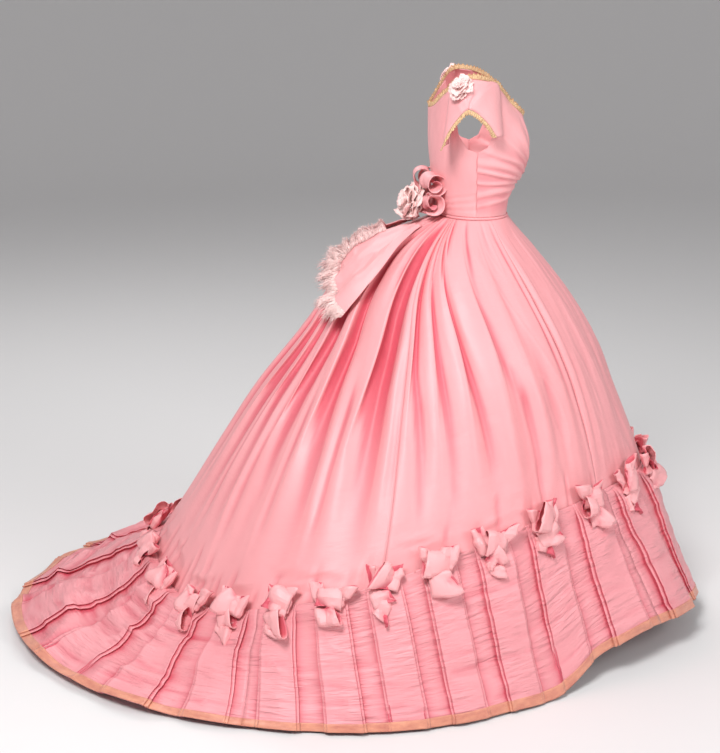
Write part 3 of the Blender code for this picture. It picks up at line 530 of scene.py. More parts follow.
class Value:
    """A shader socket that can stand in sums."""

    def __init__(self, shader: "ShaderTree", socket: bpy.types.NodeSocket) -> None:
        """Keeps the socket and the tree that it belongs to."""
        self.shader = shader
        self.socket = socket

    def _sum(self, kind: str, first: Any, second: Any) -> "Value":
        """Adds one Math node."""
        return self.shader.node("ShaderNodeMath", {"operation": kind}, {0: first, 1: second})

    def __add__(self, other: Any) -> "Value":
        """Self plus other."""
        return self._sum("ADD", self, other)

    def __mul__(self, other: Any) -> "Value":
        """Self times other."""
        return self._sum("MULTIPLY", self, other)

    def __sub__(self, other: Any) -> "Value":
        """Self minus other."""
        return self._sum("SUBTRACT", self, other)

    def __rsub__(self, other: Any) -> "Value":
        """Other minus self."""
        return self._sum("SUBTRACT", other, self)

    def __lt__(self, other: Any) -> "Value":
        """1 where self is less than other."""
        return self._sum("LESS_THAN", self, other)

    def clamped(self) -> "Value":
        """Self kept from 0 to 1."""
        return self.shader.node("ShaderNodeClamp", {}, {"Value": self})

    def size(self) -> "Value":
        """Self without its sign."""
        return self.shader.node("ShaderNodeMath", {"operation": "ABSOLUTE"}, {0: self})


class ShaderTree:
    """A material's nodes, built by expressions."""

    def __init__(self, name: str) -> None:
        """Starts a material with one Principled BSDF."""
        self.material = bpy.data.materials.new(name)
        self.material.use_nodes = True
        self.tree = self.material.node_tree
        self.principled = self.tree.nodes["Principled BSDF"]

    def node(self, kind: str, settings: dict[str, Any], inputs: dict[Any, Any], out: Any = 0) -> Value:
        """Adds a node.

        Args:
            kind: The node's type.
            settings: Its settings, such as an operation.
            inputs: Values or links of its sockets.
            out: The output that is wanted.

        Returns:
            That output.
        """
        raw = self.tree.nodes.new(kind)
        for key, value in settings.items():
            setattr(raw, key, value)
        for key, value in inputs.items():
            self.feed(raw.inputs[key], value)
        return Value(self, raw.outputs[out])

    def feed(self, socket: bpy.types.NodeSocket, value: Any) -> None:
        """Links a value to a socket, or sets a number or colour on it."""
        if isinstance(value, Value):
            self.tree.links.new(value.socket, socket)
        elif isinstance(value, tuple) and len(value) == 3 and socket.type == "RGBA":
            socket.default_value = (*value, 1.0)
        else:
            socket.default_value = value

    def noise(self, where: Value, scale: float, detail: float = 2.0, rough: float = 0.5) -> Value:
        """Noise from 0 to 1 with a scale in waves for each metre."""
        return self.node("ShaderNodeTexNoise", {}, {"Vector": where, "Scale": scale,
                                                    "Detail": detail, "Roughness": rough})

    def stretched(self, where: Value, scale: tuple[float, float, float], turn: float = 0.0) -> Value:
        """A place that is scaled and turned about Z."""
        return self.node("ShaderNodeMapping", {}, {"Vector": where, "Scale": scale,
                                                   "Rotation": (0.0, 0.0, turn)})

    def mixed(self, factor: Any, first: Any, second: Any) -> Value:
        """A colour between two."""
        return self.node("ShaderNodeMix", {"data_type": "RGBA"}, {0: factor, 6: first, 7: second}, 2)

    def threads(self) -> Value:
        """The piece's own map of metres across and down its cloth."""
        return self.node("ShaderNodeUVMap", {"uv_map": "cloth"}, {})

    def depth(self) -> Value:
        """The piece's own map of painted shade, from how deep in its folds the cloth is."""
        return self.node("ShaderNodeSeparateXYZ", {}, {
            0: self.node("ShaderNodeUVMap", {"uv_map": "tone"}, {})}, 0)

    def position(self) -> Value:
        """Object coordinates."""
        return self.node("ShaderNodeTexCoord", {}, {}, "Object")

    def down(self, where: Value) -> Value:
        """The second number of a place."""
        return self.node("ShaderNodeSeparateXYZ", {}, {0: where}, 1)

    def bump(self, height: Value, distance: float, strength: float = 1.0,
             normal: Optional[Value] = None) -> Value:
        """A normal from a height."""
        inputs: dict[Any, Any] = {"Height": height, "Distance": distance, "Strength": strength}
        if normal is not None:
            inputs["Normal"] = normal
        return self.node("ShaderNodeBump", {}, inputs)


@dataclass(frozen=True)
class SilkFinish:
    """Silk taffeta: smooth and crisp, with fine cross ribs, slubs and small creases, and painted shade in
    its folds.
    """

    name: str
    light: tuple[float, float, float] = (0.90, 0.41, 0.43)
    shade: tuple[float, float, float] = (0.84, 0.33, 0.35)
    # deep is the crimson of the painted shade in the folds
    deep: tuple[float, float, float] = (0.62, 0.060, 0.105)
    roughness: float = 0.42
    sheen: float = 0.12
    specular: float = 0.40
    rib: float = 0.00012
    crinkle: float = 0.0016
    wrinkle: float = 0.0

    def build(self) -> bpy.types.Material:
        """Makes the material."""
        shader = ShaderTree(self.name)
        where = shader.position()
        cloth = shader.threads()
        drift = shader.noise(where, 5.0, 3.0)
        colour = shader.mixed(drift, self.shade, self.light)
        slub = shader.noise(shader.stretched(cloth, (60.0, 900.0, 1.0)), 1.0, 1.0)
        colour = shader.mixed(((slub - 0.5) * 0.35 + 0.10).clamped(), colour, self.shade)
        # painted shade: the deep crimson is mixed in as far as the map "tone" reaches
        colour = shader.mixed(shader.depth().clamped(), colour, self.deep)
        crease = shader.noise(shader.stretched(cloth, (9.0, 24.0, 1.0)), 1.0, 3.0, 0.55)
        fine = shader.noise(shader.stretched(cloth, (45.0, 120.0, 1.0), 0.35), 1.0, 2.0, 0.5)
        normal = shader.bump(crease, self.crinkle * 2.5, 0.4)
        normal = shader.bump(fine, self.crinkle * 0.6, 0.35, normal)
        if self.wrinkle > 0:
            patch = ((shader.noise(where, 9.0, 1.0) - 0.34) * 5.0).clamped() + 0.25
            lines = shader.noise(shader.stretched(cloth, (13.0, 78.0, 1.0), 0.14), 1.0, 2.0, 0.55)
            normal = shader.bump(patch * lines, self.wrinkle, 1.0, normal)
        ribs = shader.node("ShaderNodeTexWave", {"bands_direction": "Y"},
                           {"Vector": cloth, "Scale": 260.0, "Distortion": 1.2, "Detail": 1.0}, 1)
        normal = shader.bump(ribs, self.rib, 0.5, normal)
        inputs = shader.principled.inputs
        shader.feed(inputs["Base Color"], colour)
        shader.feed(inputs["Roughness"], (drift - 0.5) * 0.12 + self.roughness)
        shader.feed(inputs["Normal"], normal)
        inputs["Sheen Weight"].default_value = self.sheen
        inputs["Sheen Roughness"].default_value = 0.4
        inputs["Sheen Tint"].default_value = (1.0, 0.62, 0.62, 1.0)
        inputs["Specular IOR Level"].default_value = self.specular
        return shader.material


@dataclass(frozen=True)
class RibbonFinish:
    """Satin ribbon that binds the hem, with random darker patches."""

    name: str = "hem ribbon satin"
    light: tuple[float, float, float] = (0.80, 0.36, 0.23)
    shade: tuple[float, float, float] = (0.54, 0.17, 0.13)

    def build(self) -> bpy.types.Material:
        """Makes the material."""
        shader = ShaderTree(self.name)
        cloth = shader.threads()
        patches = shader.noise(shader.stretched(cloth, (18.0, 50.0, 1.0)), 1.0, 4.0, 0.65)
        fine = shader.noise(shader.stretched(cloth, (120.0, 60.0, 1.0)), 1.0, 2.0)
        inputs = shader.principled.inputs
        shader.feed(inputs["Base Color"], shader.mixed(((patches - 0.5) * 2.2 + 0.5).clamped(),
                                                       self.shade, self.light))
        shader.feed(inputs["Roughness"], (patches - 0.5) * 0.2 + 0.48)
        shader.feed(inputs["Normal"], shader.bump(fine, 0.0014, 0.5))
        inputs["Sheen Weight"].default_value = 0.2
        return shader.material


@dataclass(frozen=True)
class LaceFinish:
    """Cotton lace, cream tan with a darker edge and open holes."""

    name: str
    edge: float
    light: tuple[float, float, float] = (0.80, 0.56, 0.32)
    shade: tuple[float, float, float] = (0.42, 0.20, 0.09)

    def build(self) -> bpy.types.Material:
        """Makes the material."""
        shader = ShaderTree(self.name)
        cloth = shader.threads()
        rim = (1.0 - (shader.down(cloth) - self.edge).size() * 330.0).clamped()
        tone = shader.noise(cloth, 160.0, 3.0, 0.6)
        holes = shader.node("ShaderNodeTexVoronoi", {"feature": "DISTANCE_TO_EDGE"},
                            {"Vector": cloth, "Scale": 330.0}, "Distance")
        net = holes < 0.24
        dark = ((tone - 0.40) * 2.4 + rim * 0.7).clamped()
        inputs = shader.principled.inputs
        shader.feed(inputs["Base Color"], shader.mixed(dark, self.light, self.shade))
        shader.feed(inputs["Alpha"], (net + rim + 0.42).clamped())
        shader.feed(inputs["Normal"], shader.bump(holes, 0.0009, 0.6))
        inputs["Roughness"].default_value = 0.85
        return shader.material


@dataclass
class Finishes:
    """All the dress's materials."""

    silk: bpy.types.Material = field(default_factory=lambda: SilkFinish("rose taffeta").build())
    # painted shade: the flounce's copy of the silk is darker all over
    pleated_painted_shade: bpy.types.Material = field(default_factory=lambda: SilkFinish(
        "rose taffeta of the flounce", light=(0.87, 0.37, 0.40), shade=(0.80, 0.30, 0.33),
        wrinkle=0.0065).build())
    # painted light: the copy of the silk for the bodice, sleeves, bows and sash tails is lighter all over
    light: bpy.types.Material = field(default_factory=lambda: SilkFinish(
        "rose taffeta of the bodice and bows", light=(0.92, 0.46, 0.47), shade=(0.87, 0.37, 0.39),
        crinkle=0.0012).build())
    frayed: bpy.types.Material = field(default_factory=lambda: SilkFinish(
        "frayed taffeta", light=(0.99, 0.84, 0.78), shade=(0.97, 0.62, 0.62), roughness=0.75,
        sheen=0.9, specular=0.2).build())
    ribbon: bpy.types.Material = field(default_factory=lambda: RibbonFinish().build())
    neck_lace: bpy.types.Material = field(default_factory=lambda: LaceFinish(
        "cotton lace of the neck", edge=0.0).build())
    sleeve_lace: bpy.types.Material = field(default_factory=lambda: LaceFinish(
        "cotton lace of the sleeves", edge=0.0135).build())


@dataclass
class SkirtForm:
    """The skirt's surface from the waist to the flounce seam."""

    skew: float = 0.42
    lip: float = 0.10
    overlap: float = 0.50
    seam_calm: float = 2.5  # degrees beside the centre back seam in which every fold dies out
    creases: tuple[Crease, ...] = (
        # gathers under the band, which all start above it
        *(Crease(spot, 0, half, depth, GATHER_TOP, bottom, skew) for spot, half, depth, bottom, skew in (
            (60, 2.2, 0.0020, 0.14, 0.0), (74, 2.0, 0.0030, 0.20, 0.4), (84, 2.0, 0.0050, 0.13, 0.4),
            (91, 2.4, 0.0105, 0.20, 0.6), (100, 2.2, 0.0090, 0.27, 0.6), (109, 1.8, 0.0080, 0.22, 0.5),
            (113.5, 1.0, 0.0055, 0.12, 0.0), (125, 1.4, 0.0090, 0.26, 0.5), (128, 1.1, 0.0060, 0.14, 0.0),
            (137.5, 1.4, 0.0090, 0.24, 0.4), (141, 1.1, 0.0060, 0.13, 0.0), (149, 1.3, 0.0080, 0.22, 0.4),
            (152, 1.0, 0.0050, 0.12, 0.0), (160, 1.4, 0.0080, 0.20, 0.4), (170, 1.4, 0.0070, 0.18, 0.0),
            (179, 1.2, 0.0060, 0.16, 0.0),
        )),
        # long soft troughs and ridges of the side and back
        Crease(58, 2, 5.0, 0.0030, 0.30, 0.88), Crease(67, 2, 4.4, -0.0040, 0.45, 0.99),
        Crease(70.5, 2, 3.0, 0.0060, 0.50, 0.99, 0.3), Crease(80, 2, 4.4, -0.0050, 0.30, 0.97, 0.2),
        Crease(86.5, 1, 3.0, 0.0075, 0.12, 0.90, 0.3), Crease(92.5, 1, 3.8, -0.0045, 0.30, 0.92),
        Crease(98, 1, 3.4, 0.0050, 0.34, 0.98, 0.2), Crease(105, 1, 3.4, 0.0060, 0.40, 0.95, 0.3),
        Crease(112, -1, 3.0, 0.0060, 0.24, 0.86, 0.4),
        Crease(115.5, 0, 2.2, -0.0060, 0.28, 0.95), Crease(126, 1, 3.0, 0.0090, 0.34, 0.97, 0.4),
        Crease(129, 1, 2.0, -0.0060, 0.25, 0.90), Crease(138.5, 1, 3.0, 0.0085, 0.30, 0.94, 0.4),
        Crease(149.5, 1, 3.0, 0.0090, 0.24, 0.96, 0.4), Crease(152.5, 0, 1.8, -0.0055, 0.34, 0.90),
        Crease(160, 1, 3.0, 0.0090, 0.30, 0.98, 0.3), Crease(170.5, 0, 3.0, 0.0080, 0.26, 0.95, 0.3),
        # the smooth front gore
        Crease(7, 1, 5.5, 0.0030, 0.20, 0.86), Crease(19, 2, 5.5, 0.0030, 0.30, 0.97),
        Crease(31, 2, 5.0, 0.0030, 0.24, 0.82), Crease(39, 1, 4.0, -0.0030, 0.40, 0.98),
        Crease(46.6, 0, 1.5, 0.0065, 0.05, 1.00, 0.7), Crease(44.4, 0, 1.6, -0.0030, 0.05, 1.00),
        # puckers above the flounce seam, which all run on under it
        *(Crease(spot, drift, half, depth, top, PUCKER_END, skew)
          for spot, drift, half, depth, top, skew in (
              (49, 0, 1.0, 0.0030, 0.90, 0.0), (62, 0, 1.2, 0.0035, 0.86, 0.4),
              (72, -1, 1.4, 0.0060, 0.80, 0.4), (77, 0, 1.0, 0.0030, 0.90, 0.0),
              (87, 0, 1.2, 0.0045, 0.84, 0.4), (93, 0, 0.8, 0.0030, 0.91, 0.0),
              (100, 0, 1.0, 0.0040, 0.88, 0.4), (105, 0, 0.8, 0.0035, 0.92, 0.0),
              (115, 0, 0.9, 0.0045, 0.89, 0.4), (118, 0, 0.8, 0.0035, 0.92, 0.0),
              (124, 0, 1.0, 0.0050, 0.88, 0.4), (132, 0, 0.9, 0.0050, 0.90, 0.0),
              (135.5, 0, 0.8, 0.0040, 0.92, 0.0), (142, 0, 1.0, 0.0060, 0.87, 0.4),
              (146.0, 0, 0.7, 0.0065, 0.90, 0.4), (148.2, 0, 0.6, 0.0055, 0.88, 0.4),
              (150.6, 0, 0.7, 0.0080, 0.84, 0.4), (152.8, 0, 0.6, 0.0060, 0.90, 0.0),
              (155.2, 0, 0.7, 0.0085, 0.85, 0.4), (157.4, 0, 0.6, 0.0065, 0.89, 0.0),
              (163, 0, 0.7, 0.0070, 0.86, 0.4), (166, 0, 0.6, 0.0055, 0.90, 0.0),
              (169, 0, 0.7, 0.0065, 0.87, 0.4), (176, 0, 0.7, 0.0060, 0.88, 0.4),
          )),
    )
    swags: tuple[tuple[float, float, float, float, float], ...] = (
        # angle, half width, share of the way down at the middle, slope, depth
        (106.0, 5.0, 0.925, -0.025, 0.0050), (104.0, 4.5, 0.955, -0.015, 0.0045),
        (124.0, 6.5, 0.940, -0.030, 0.0065), (126.0, 6.0, 0.968, -0.018, 0.0055),
        (131.0, 4.0, 0.915, 0.020, 0.0040), (89.0, 4.0, 0.960, 0.015, 0.0030),
        (152.0, 5.5, 0.950, 0.030, 0.0060), (140.0, 5.0, 0.955, 0.020, 0.0050),
        (163.0, 5.0, 0.935, -0.020, 0.0055), (174.0, 5.0, 0.955, 0.020, 0.0050),
    )
    broad: Noise = field(default_factory=lambda: Noise(11))
    small: Noise = field(default_factory=lambda: Noise(12))

    def cloth_angle(self, seam_angle: Any, share: Any) -> Array:
        """Where a length of cloth lies at a share of the way down, from its angle at the seam."""
        seam = fold_angle(seam_angle)
        waist = np.interp(seam, SEAM_PLACES, WAIST_PLACES)
        return side_sign(seam_angle) * (seam + (waist - seam) * np.clip(1 - share, 0, 1) ** TURN_POWER)

    def plain(self, angle: Any, share: Any) -> Array:
        """The plain form at a true angle."""
        height = smooth(fold_angle(angle), RING_ANGLES, SEAM_HEIGHTS, level_ends=True)
        return place(angle, ring_distance(SKIRT_RINGS, RING_ANGLES, angle, share), share * height)

    def base(self, seam_angle: Any, share: Any) -> Array:
        """The skirt without its folds."""
        seam_angle, share = np.broadcast_arrays(np.asarray(seam_angle, float), np.asarray(share, float))
        return self.plain(self.cloth_angle(seam_angle, share), share)

    def normal(self, seam_angle: Any, share: Any) -> Array:
        """Outward unit normals of the plain skirt."""
        held = np.clip(share, 0.01, 0.99)
        return slope_normal(self.base, np.asarray(seam_angle, float), held, (0.2, 0.01))

    def folds(self, seam_angle: Any, share: Any) -> tuple[Array, Array]:
        """The main folds, each steep on its back side, where the next fold's lip overlaps it.

        Args:
            seam_angle: Angles on the flounce seam.
            share: Shares of the way down.

        Returns:
            How deep the cloth is pressed in, and how many degrees its lips slide forward.
        """
        seam = fold_angle(seam_angle)
        left = side_sign(seam_angle) < 0
        depth = np.zeros(np.broadcast(seam, share).shape)
        slide = np.zeros_like(depth)
        for k, (spot, half, deep, deepest, kept) in enumerate(SKIRT_FOLDS):
            middle = spot + left * 0.9 * math.sin(5.1 * k)
            t = (seam - middle) / (half * (1 + 0.7 * share ** 2))
            skew = self.skew * (1 - 0.9 * ease((share - 0.25) / 0.5))
            across = ease(np.where(t < skew, (t + 1) / (1 + skew), (1 - t) / (1 - skew)))
            down = np.where(share < deepest, np.clip(share / deepest, 0, 1) ** 0.6,
                            1 - (1 - kept) * ease((share - deepest) / (1 - deepest)))
            down = down * ease((1 - share) / FOLD_END)
            edge = ease((t - 0.66) / 0.30) * ease((2.1 - t) / 1.1)
            crisp = 1 - ease((share - 0.30) / 0.42)
            depth = depth + deep * down * (across - self.lip * edge * (0.3 + 0.7 * crisp))
            slide = slide + half * self.overlap * edge * np.sqrt(down) * crisp * min(deep / 0.016, 1.0)
        return depth, slide

    def small_creases(self, seam_angle: Any, share: Any) -> Array:
        """How deep the listed creases and the silk's own unevenness press the cloth in."""
        seam = fold_angle(seam_angle)
        left = side_sign(seam_angle) < 0
        total = np.zeros(np.broadcast(seam, share).shape)
        for k, crease in enumerate(self.creases):
            shift = left * math.sin(4.7 * k) * min(1.2, crease.half)
            t = (seam - crease.spot - shift - crease.drift * (1 - share)) / crease.half
            t = t - crease.skew * np.clip(1 - t * t, 0, 1)
            run = (share - crease.top) / (crease.bottom - crease.top)
            down = ease(run / 0.30) * ease((1 - run) / 0.40)
            total = total + crease.depth * hump(t) * down * (1 + 0.3 * left * math.sin(2.9 * k))
        total = total * (0.35 + 0.65 * ease(share / 0.03))
        for k, (spot, half, level, sag, deep) in enumerate(self.swags):
            t = (seam - spot - left * 2.0 * math.sin(3.3 * k)) / half
            off = share - level - sag * t * np.abs(t)
            total = total + deep * hump(t) * hump(off / 0.013)
            total = total - 0.7 * deep * hump(t) * hump((off + 0.018) / 0.016)
        where = (np.asarray(seam_angle, float) + 180.0) % 360.0 - 180.0
        wave = self.broad.at(where / 5.5, share * 3.2) * 0.0022
        wave = wave + self.small.at(where / 2.0 + 9, share * 9.0) * 0.0006
        line = self.small.creased(where / 6.0, share * 5.0 + where / 9.0, 9.0) * 0.0010
        low = ease((share - 0.80) / 0.2)
        pucker = self.small.at(where / 3.0, share * 42.0) * 0.0008 * low
        return total + (wave - line + pucker) * ease(share / 0.12)

    def point(self, seam_angle: Any, share: Any) -> Array:
        """The skirt's outer face with its folds and creases."""
        seam_angle, share = np.broadcast_arrays(np.asarray(seam_angle, float), np.asarray(share, float))
        depth, slide = self.folds(seam_angle, share)
        calm = ease((180.0 - fold_angle(seam_angle)) / self.seam_calm)
        depth = (depth + self.small_creases(seam_angle, share)) * calm
        moved = seam_angle - side_sign(seam_angle) * slide * calm
        return self.base(moved, share) - self.normal(seam_angle, share) * depth[..., None]


@dataclass
class FlounceForm:
    """The flounce's surface from its seam to the hem."""

    skirt: SkirtForm
    clear: float = 0.0028

    def train_share(self, angle: Any) -> Array:
        """How far an angle lies in the train."""
        return ease((fold_angle(angle) - TRAIN_START) / (TRAIN_FULL - TRAIN_START))

    def base(self, seam_angle: Any, share: Any) -> Array:
        """The flounce without its box pleats, from the seam at share 0 to the hem at share 1."""
        seam_angle, share = np.broadcast_arrays(np.asarray(seam_angle, float), np.asarray(share, float))
        top = self.skirt.base(seam_angle, 1.0)
        hem_angle = seam_angle + side_sign(seam_angle) * table_value(HEM_RINGS, seam_angle, 3)
        hem = place(hem_angle, table_value(HEM_RINGS, hem_angle, 1),
                    FLOOR + self.clear + table_value(HEM_RINGS, hem_angle, 2))
        blend = share[..., None]
        point = top * (1 - blend) + hem * blend
        sag = np.where(share < BOW_END, share / BOW_END, (1 - share) / (1 - BOW_END))
        point[..., 2] -= TRAIN_SAG * self.train_share(seam_angle) * ease(sag)
        return point

    def normal(self, seam_angle: Any, share: Any) -> Array:
        """Outward unit normals of the plain flounce."""
        held = np.clip(share, 0.05, 0.95)
        return slope_normal(self.base, np.asarray(seam_angle, float), held, (1.0, 0.05))

    @staticmethod
    def pleats() -> list[tuple[float, float, float]]:
        """Each pleat: its angle, and the angles halfway to its neighbours."""
        spots = sorted([-p for p in PLEAT_PLACES] + list(PLEAT_PLACES))
        around = [spots[-1] - 360.0] + spots + [spots[0] + 360.0]
        return [(around[k], 0.5 * (around[k - 1] + around[k]), 0.5 * (around[k] + around[k + 1]))
                for k in range(1, len(around) - 1)]


@dataclass
class BodiceForm:
    """The bodice's surface from the waist to the neckline."""

    def point(self, angle: Any, height: Any) -> Array:
        """The outer face without its drapery."""
        angle, height = np.broadcast_arrays(np.asarray(angle, float), np.asarray(height, float))
        shape = angle.shape
        angle, height = angle.ravel(), height.ravel()
        folded = fold_angle(angle)
        rings = np.stack([smooth(folded, BODICE_ANGLES, row[1], level_ends=True) for row in BODICE_RINGS]
                         + [table_value(NECKLINE, angle, 1)])
        levels = np.stack([np.full_like(angle, row[0]) for row in BODICE_RINGS]
                          + [table_value(NECKLINE, angle, 2)])
        return place(angle, curves(height, levels, rings), height).reshape(*shape, 3)

    def top(self, angle: Any) -> Array:
        """Height of the upper edge: the neckline, and the armhole where there is one."""
        folded = fold_angle(angle)
        places, heights = zip(*ARMHOLE)
        inside = (folded > places[0]) & (folded < places[-1])
        return np.where(inside, np.interp(folded, places, heights), table_value(NECKLINE, angle, 2))


@dataclass
class Skirt:
    """Front gore, side gores, back widths and the corded band."""

    form: SkirtForm
    finishes: Finishes
    step: float = 0.6
    rows: int = 98
    cloth: float = 0.0010
    front_seam: float = 47.0
    side_seam: float = 112.0
    gap: float = 0.01
    tuck: float = 0.012
    band_proud: float = 0.0026

    def gore(self, name: str, first: float, last: float, cut: tuple[float, float, Hold],
             wardrobe: Wardrobe) -> None:
        """One gore between two angles of the seam."""
        count = int(round((last - first) / self.step)) + 1
        angles = np.linspace(first, last, count)
        shares = np.append(np.linspace(0.0, 1.0, self.rows) ** 1.15, 1.0 + self.tuck)
        grid = self.form.point(angles[None, :], shares[:, None])
        grid[0, :, 2] = -BAND_HALF_HEIGHT
        under = self.form.normal(angles[None, :], shares[:, None] + 0 * angles[None, :])
        grid -= under * (ease((shares - 0.985) / 0.015) * 0.0014)[:, None, None]
        # painted shade: the folds' hollows are tinted deep crimson, less of it towards the hem
        tone = 0.75 * painted_fold_shade(grid, 4, 0.0045) + 0.45 * painted_fold_shade(grid, 9, 0.014)
        tone = np.clip(tone, 0, 0.85) * (0.35 + 0.65 * ease((0.80 - shares) / 0.45))[:, None]
        sheet = ClothMesh(name + "_silk", self.cloth, self.finishes.silk).add(grid, tone=tone)
        wardrobe.hang(sheet.build(), name, "silk", cut, sheet.area, ["waist_band_cord"])

    def build(self, wardrobe: Wardrobe) -> None:
        """Makes the band and the five lengths of the skirt."""
        angles = np.arange(0.0, 360.0, 1.0)
        distance = ring_distance(SKIRT_RINGS, RING_ANGLES, angles, 0.0)
        turns = np.radians(np.linspace(0, 180, 9))[:, None]
        twist = 0.00025 * np.sin(2 * math.pi * (angles / 3.0) + 3 * turns)
        levels = BAND_HALF_HEIGHT * np.cos(turns) + 0 * angles
        grid = place(angles[None, :] + 0 * turns,
                     distance + self.band_proud * np.sin(turns) + twist, levels)
        sheet = ClothMesh("waist_band_cord", 0.0008, self.finishes.silk).add(grid, closed=True)
        wardrobe.hang(sheet.build(), "waist_band", "silk", (0.67, 0.0102, Hold.STRETCHED))

        front, side = self.front_seam, self.side_seam
        side_cut, back_cut = (0.72, 0.84, Hold.GATHERED), (1.05, 1.16, Hold.GATHERED)
        gores = (
            ("skirt_front", -front, front, (0.72, 0.76, Hold.HUNG)),
            ("skirt_side_right", front, side, side_cut),
            ("skirt_back_right", side, 180.0, back_cut),
            ("skirt_back_left", 180.0, 360.0 - side, back_cut),
            ("skirt_side_left", -side, -front, side_cut),
        )
        for name, first, last, cut in gores:
            self.gore(name, first + self.gap, last - self.gap, cut, wardrobe)


@dataclass
class Flounce:
    """The box-pleated flounce, its doubled pleat edges and the ribbon that binds its hem."""

    form: FlounceForm
    finishes: Finishes
    cloth: float = 0.0009
    lift: float = 0.0135
    start: float = 0.08
    pitch: float = 0.125
    drop: float = 0.42
    ribbon_from: float = 0.935
    profile: tuple[tuple[float, float, float], ...] = (
        # share of the spacing from the pleat's middle, share of the lift, tone of painted shade
        (0.000, 1.00, 0.0), (0.060, 0.99, 0.0), (0.120, 0.98, 0.0), (0.180, 0.98, 0.0),
        (0.225, 0.99, 0.0), (0.252, 1.04, 0.0), (0.267, 1.05, 0.0), (0.2745, 0.97, 0.35),
        (0.268, 0.87, 0.8), (0.252, 0.80, 1.0), (0.246, 0.71, 1.0), (0.262, 0.65, 0.8),
        (0.290, 0.65, 0.2), (0.311, 0.64, 0.0), (0.3190, 0.54, 0.3), (0.311, 0.42, 0.8),
        (0.290, 0.28, 1.0), (0.281, 0.14, 1.0), (0.294, 0.02, 1.0), (0.330, 0.0, 0.55),
        (0.380, 0.0, 0.25), (0.440, 0.0, 0.10), (0.500, 0.0, 0.05),
    )
    wrinkle: Noise = field(default_factory=lambda: Noise(21))
    crumple: Noise = field(default_factory=lambda: Noise(22))

    def columns(self) -> tuple[Array, Array, Array, Array]:
        """Angles of the columns, the lift at each, its place counted in pleats, and its painted shade."""
        angles, lifts, numbers, painted_shades = [], [], [], []
        for number, (spot, before, after) in enumerate(self.form.pleats()):
            left, right = 2 * (spot - before), 2 * (after - spot)
            for share, lift, tone in self.profile[:0:-1]:
                angles.append(spot - share * left)
                lifts.append(lift)
                numbers.append(number - share)
                painted_shades.append(tone)
            for share, lift, tone in self.profile[:-1]:
                angles.append(spot + share * right)
                lifts.append(lift)
                numbers.append(number + share)
                painted_shades.append(tone)
        return np.array(angles), np.array(lifts), np.array(numbers), np.array(painted_shades)

    def shares(self) -> Array:
        """Shares of the way down of the rows, close together at the top and at the hem."""
        return np.concatenate([np.linspace(0.0, 0.2, 15), np.linspace(0.2, self.ribbon_from, 32)[1:],
                               np.linspace(self.ribbon_from, 1.0, 7)[1:]])

    def grid(self) -> tuple[Array, Array, Array]:
        """The outer points all round, the rows' shares, and the painted shade at each point."""
        angles, lifts, numbers, painted_shades = self.columns()
        share = self.shares()[:, None]
        base = self.form.base(angles[None, :], share)
        normal = self.form.normal(angles[None, :], share + 0 * angles[None, :])
        train = self.form.train_share(angles)[None, :]
        along = numbers[None, :] * self.pitch
        down = share * self.drop
        grow = self.start + (1 - self.start) * ease(share / KNEE)
        whole = np.round(numbers)[None, :]
        grow = grow * (1 + ease((share - 0.3) / 0.7) * (0.35 + 0.35 * np.sin(2.3 * whole)))
        rise = self.lift * lifts[None, :] * grow
        rough = ease(share / 0.05) * (1 + 1.1 * train)
        rise = rise + rough * self.wrinkle.at(along / 0.06, down / 0.022) * 0.0015
        rise = rise + rough * self.wrinkle.at(along / 0.11 + 7, down / 0.10 + 3) * 0.0050
        rise = rise + rough * self.crumple.creased(along / 0.07, down / 0.05 + along / 0.2, 5.0) * 0.0024
        rise = rise + train * rough * self.crumple.creased(along / 0.12, down / 0.12, 3.0) * 0.0090
        kick = ease((share - 0.45) / 0.55)
        low = 1 - lifts[None, :]
        rise = rise + kick * low * 0.0100 * (1 + self.crumple.at(numbers * 1.1, 9.0))[None, :]
        rise = rise + kick * self.crumple.at(along / 0.05, 2.0) * 0.0050
        grid = base + normal * (rise + 0.0006)[..., None]
        sway = self.crumple.at(numbers[None, :] * 0.8, share * 2.5) * 0.006 * ease(share / 0.3)
        side = unit(np.cross(np.array([0.0, 0.0, 1.0]), normal))
        grid = grid + side * sway[..., None]
        grid[0, :, 2] -= 0.0002
        grid[..., 2] = np.maximum(grid[..., 2], FLOOR + 0.0016 + (1 - share) * 0.01)
        # painted shade under the folded pleat edges, in the recesses and in the hollows
        tone = painted_shades[None, :] * (0.75 * ease(share / 0.12) + 0.25 * ease((share - 0.4) / 0.5))
        tone = tone + 0.45 * painted_fold_shade(grid[::-1].transpose(1, 0, 2), 2, 0.0030).T[::-1]
        return grid, share[:, 0], np.clip(tone, 0, 0.9)

    def build(self, wardrobe: Wardrobe) -> None:
        """Makes the four lengths of the flounce and of the ribbon."""
        grid, shares, tone = self.grid()
        normals = facing(grid, closed=True)
        count = grid.shape[1]
        starts = np.array([before for _, before, _ in self.form.pleats()])
        per_pleat = 2 * (len(self.profile) - 1)

        def seam(angle: float) -> int:
            """The first column of the pleat that starts at an angle."""
            return int(np.argmin(np.abs(starts - angle))) * per_pleat

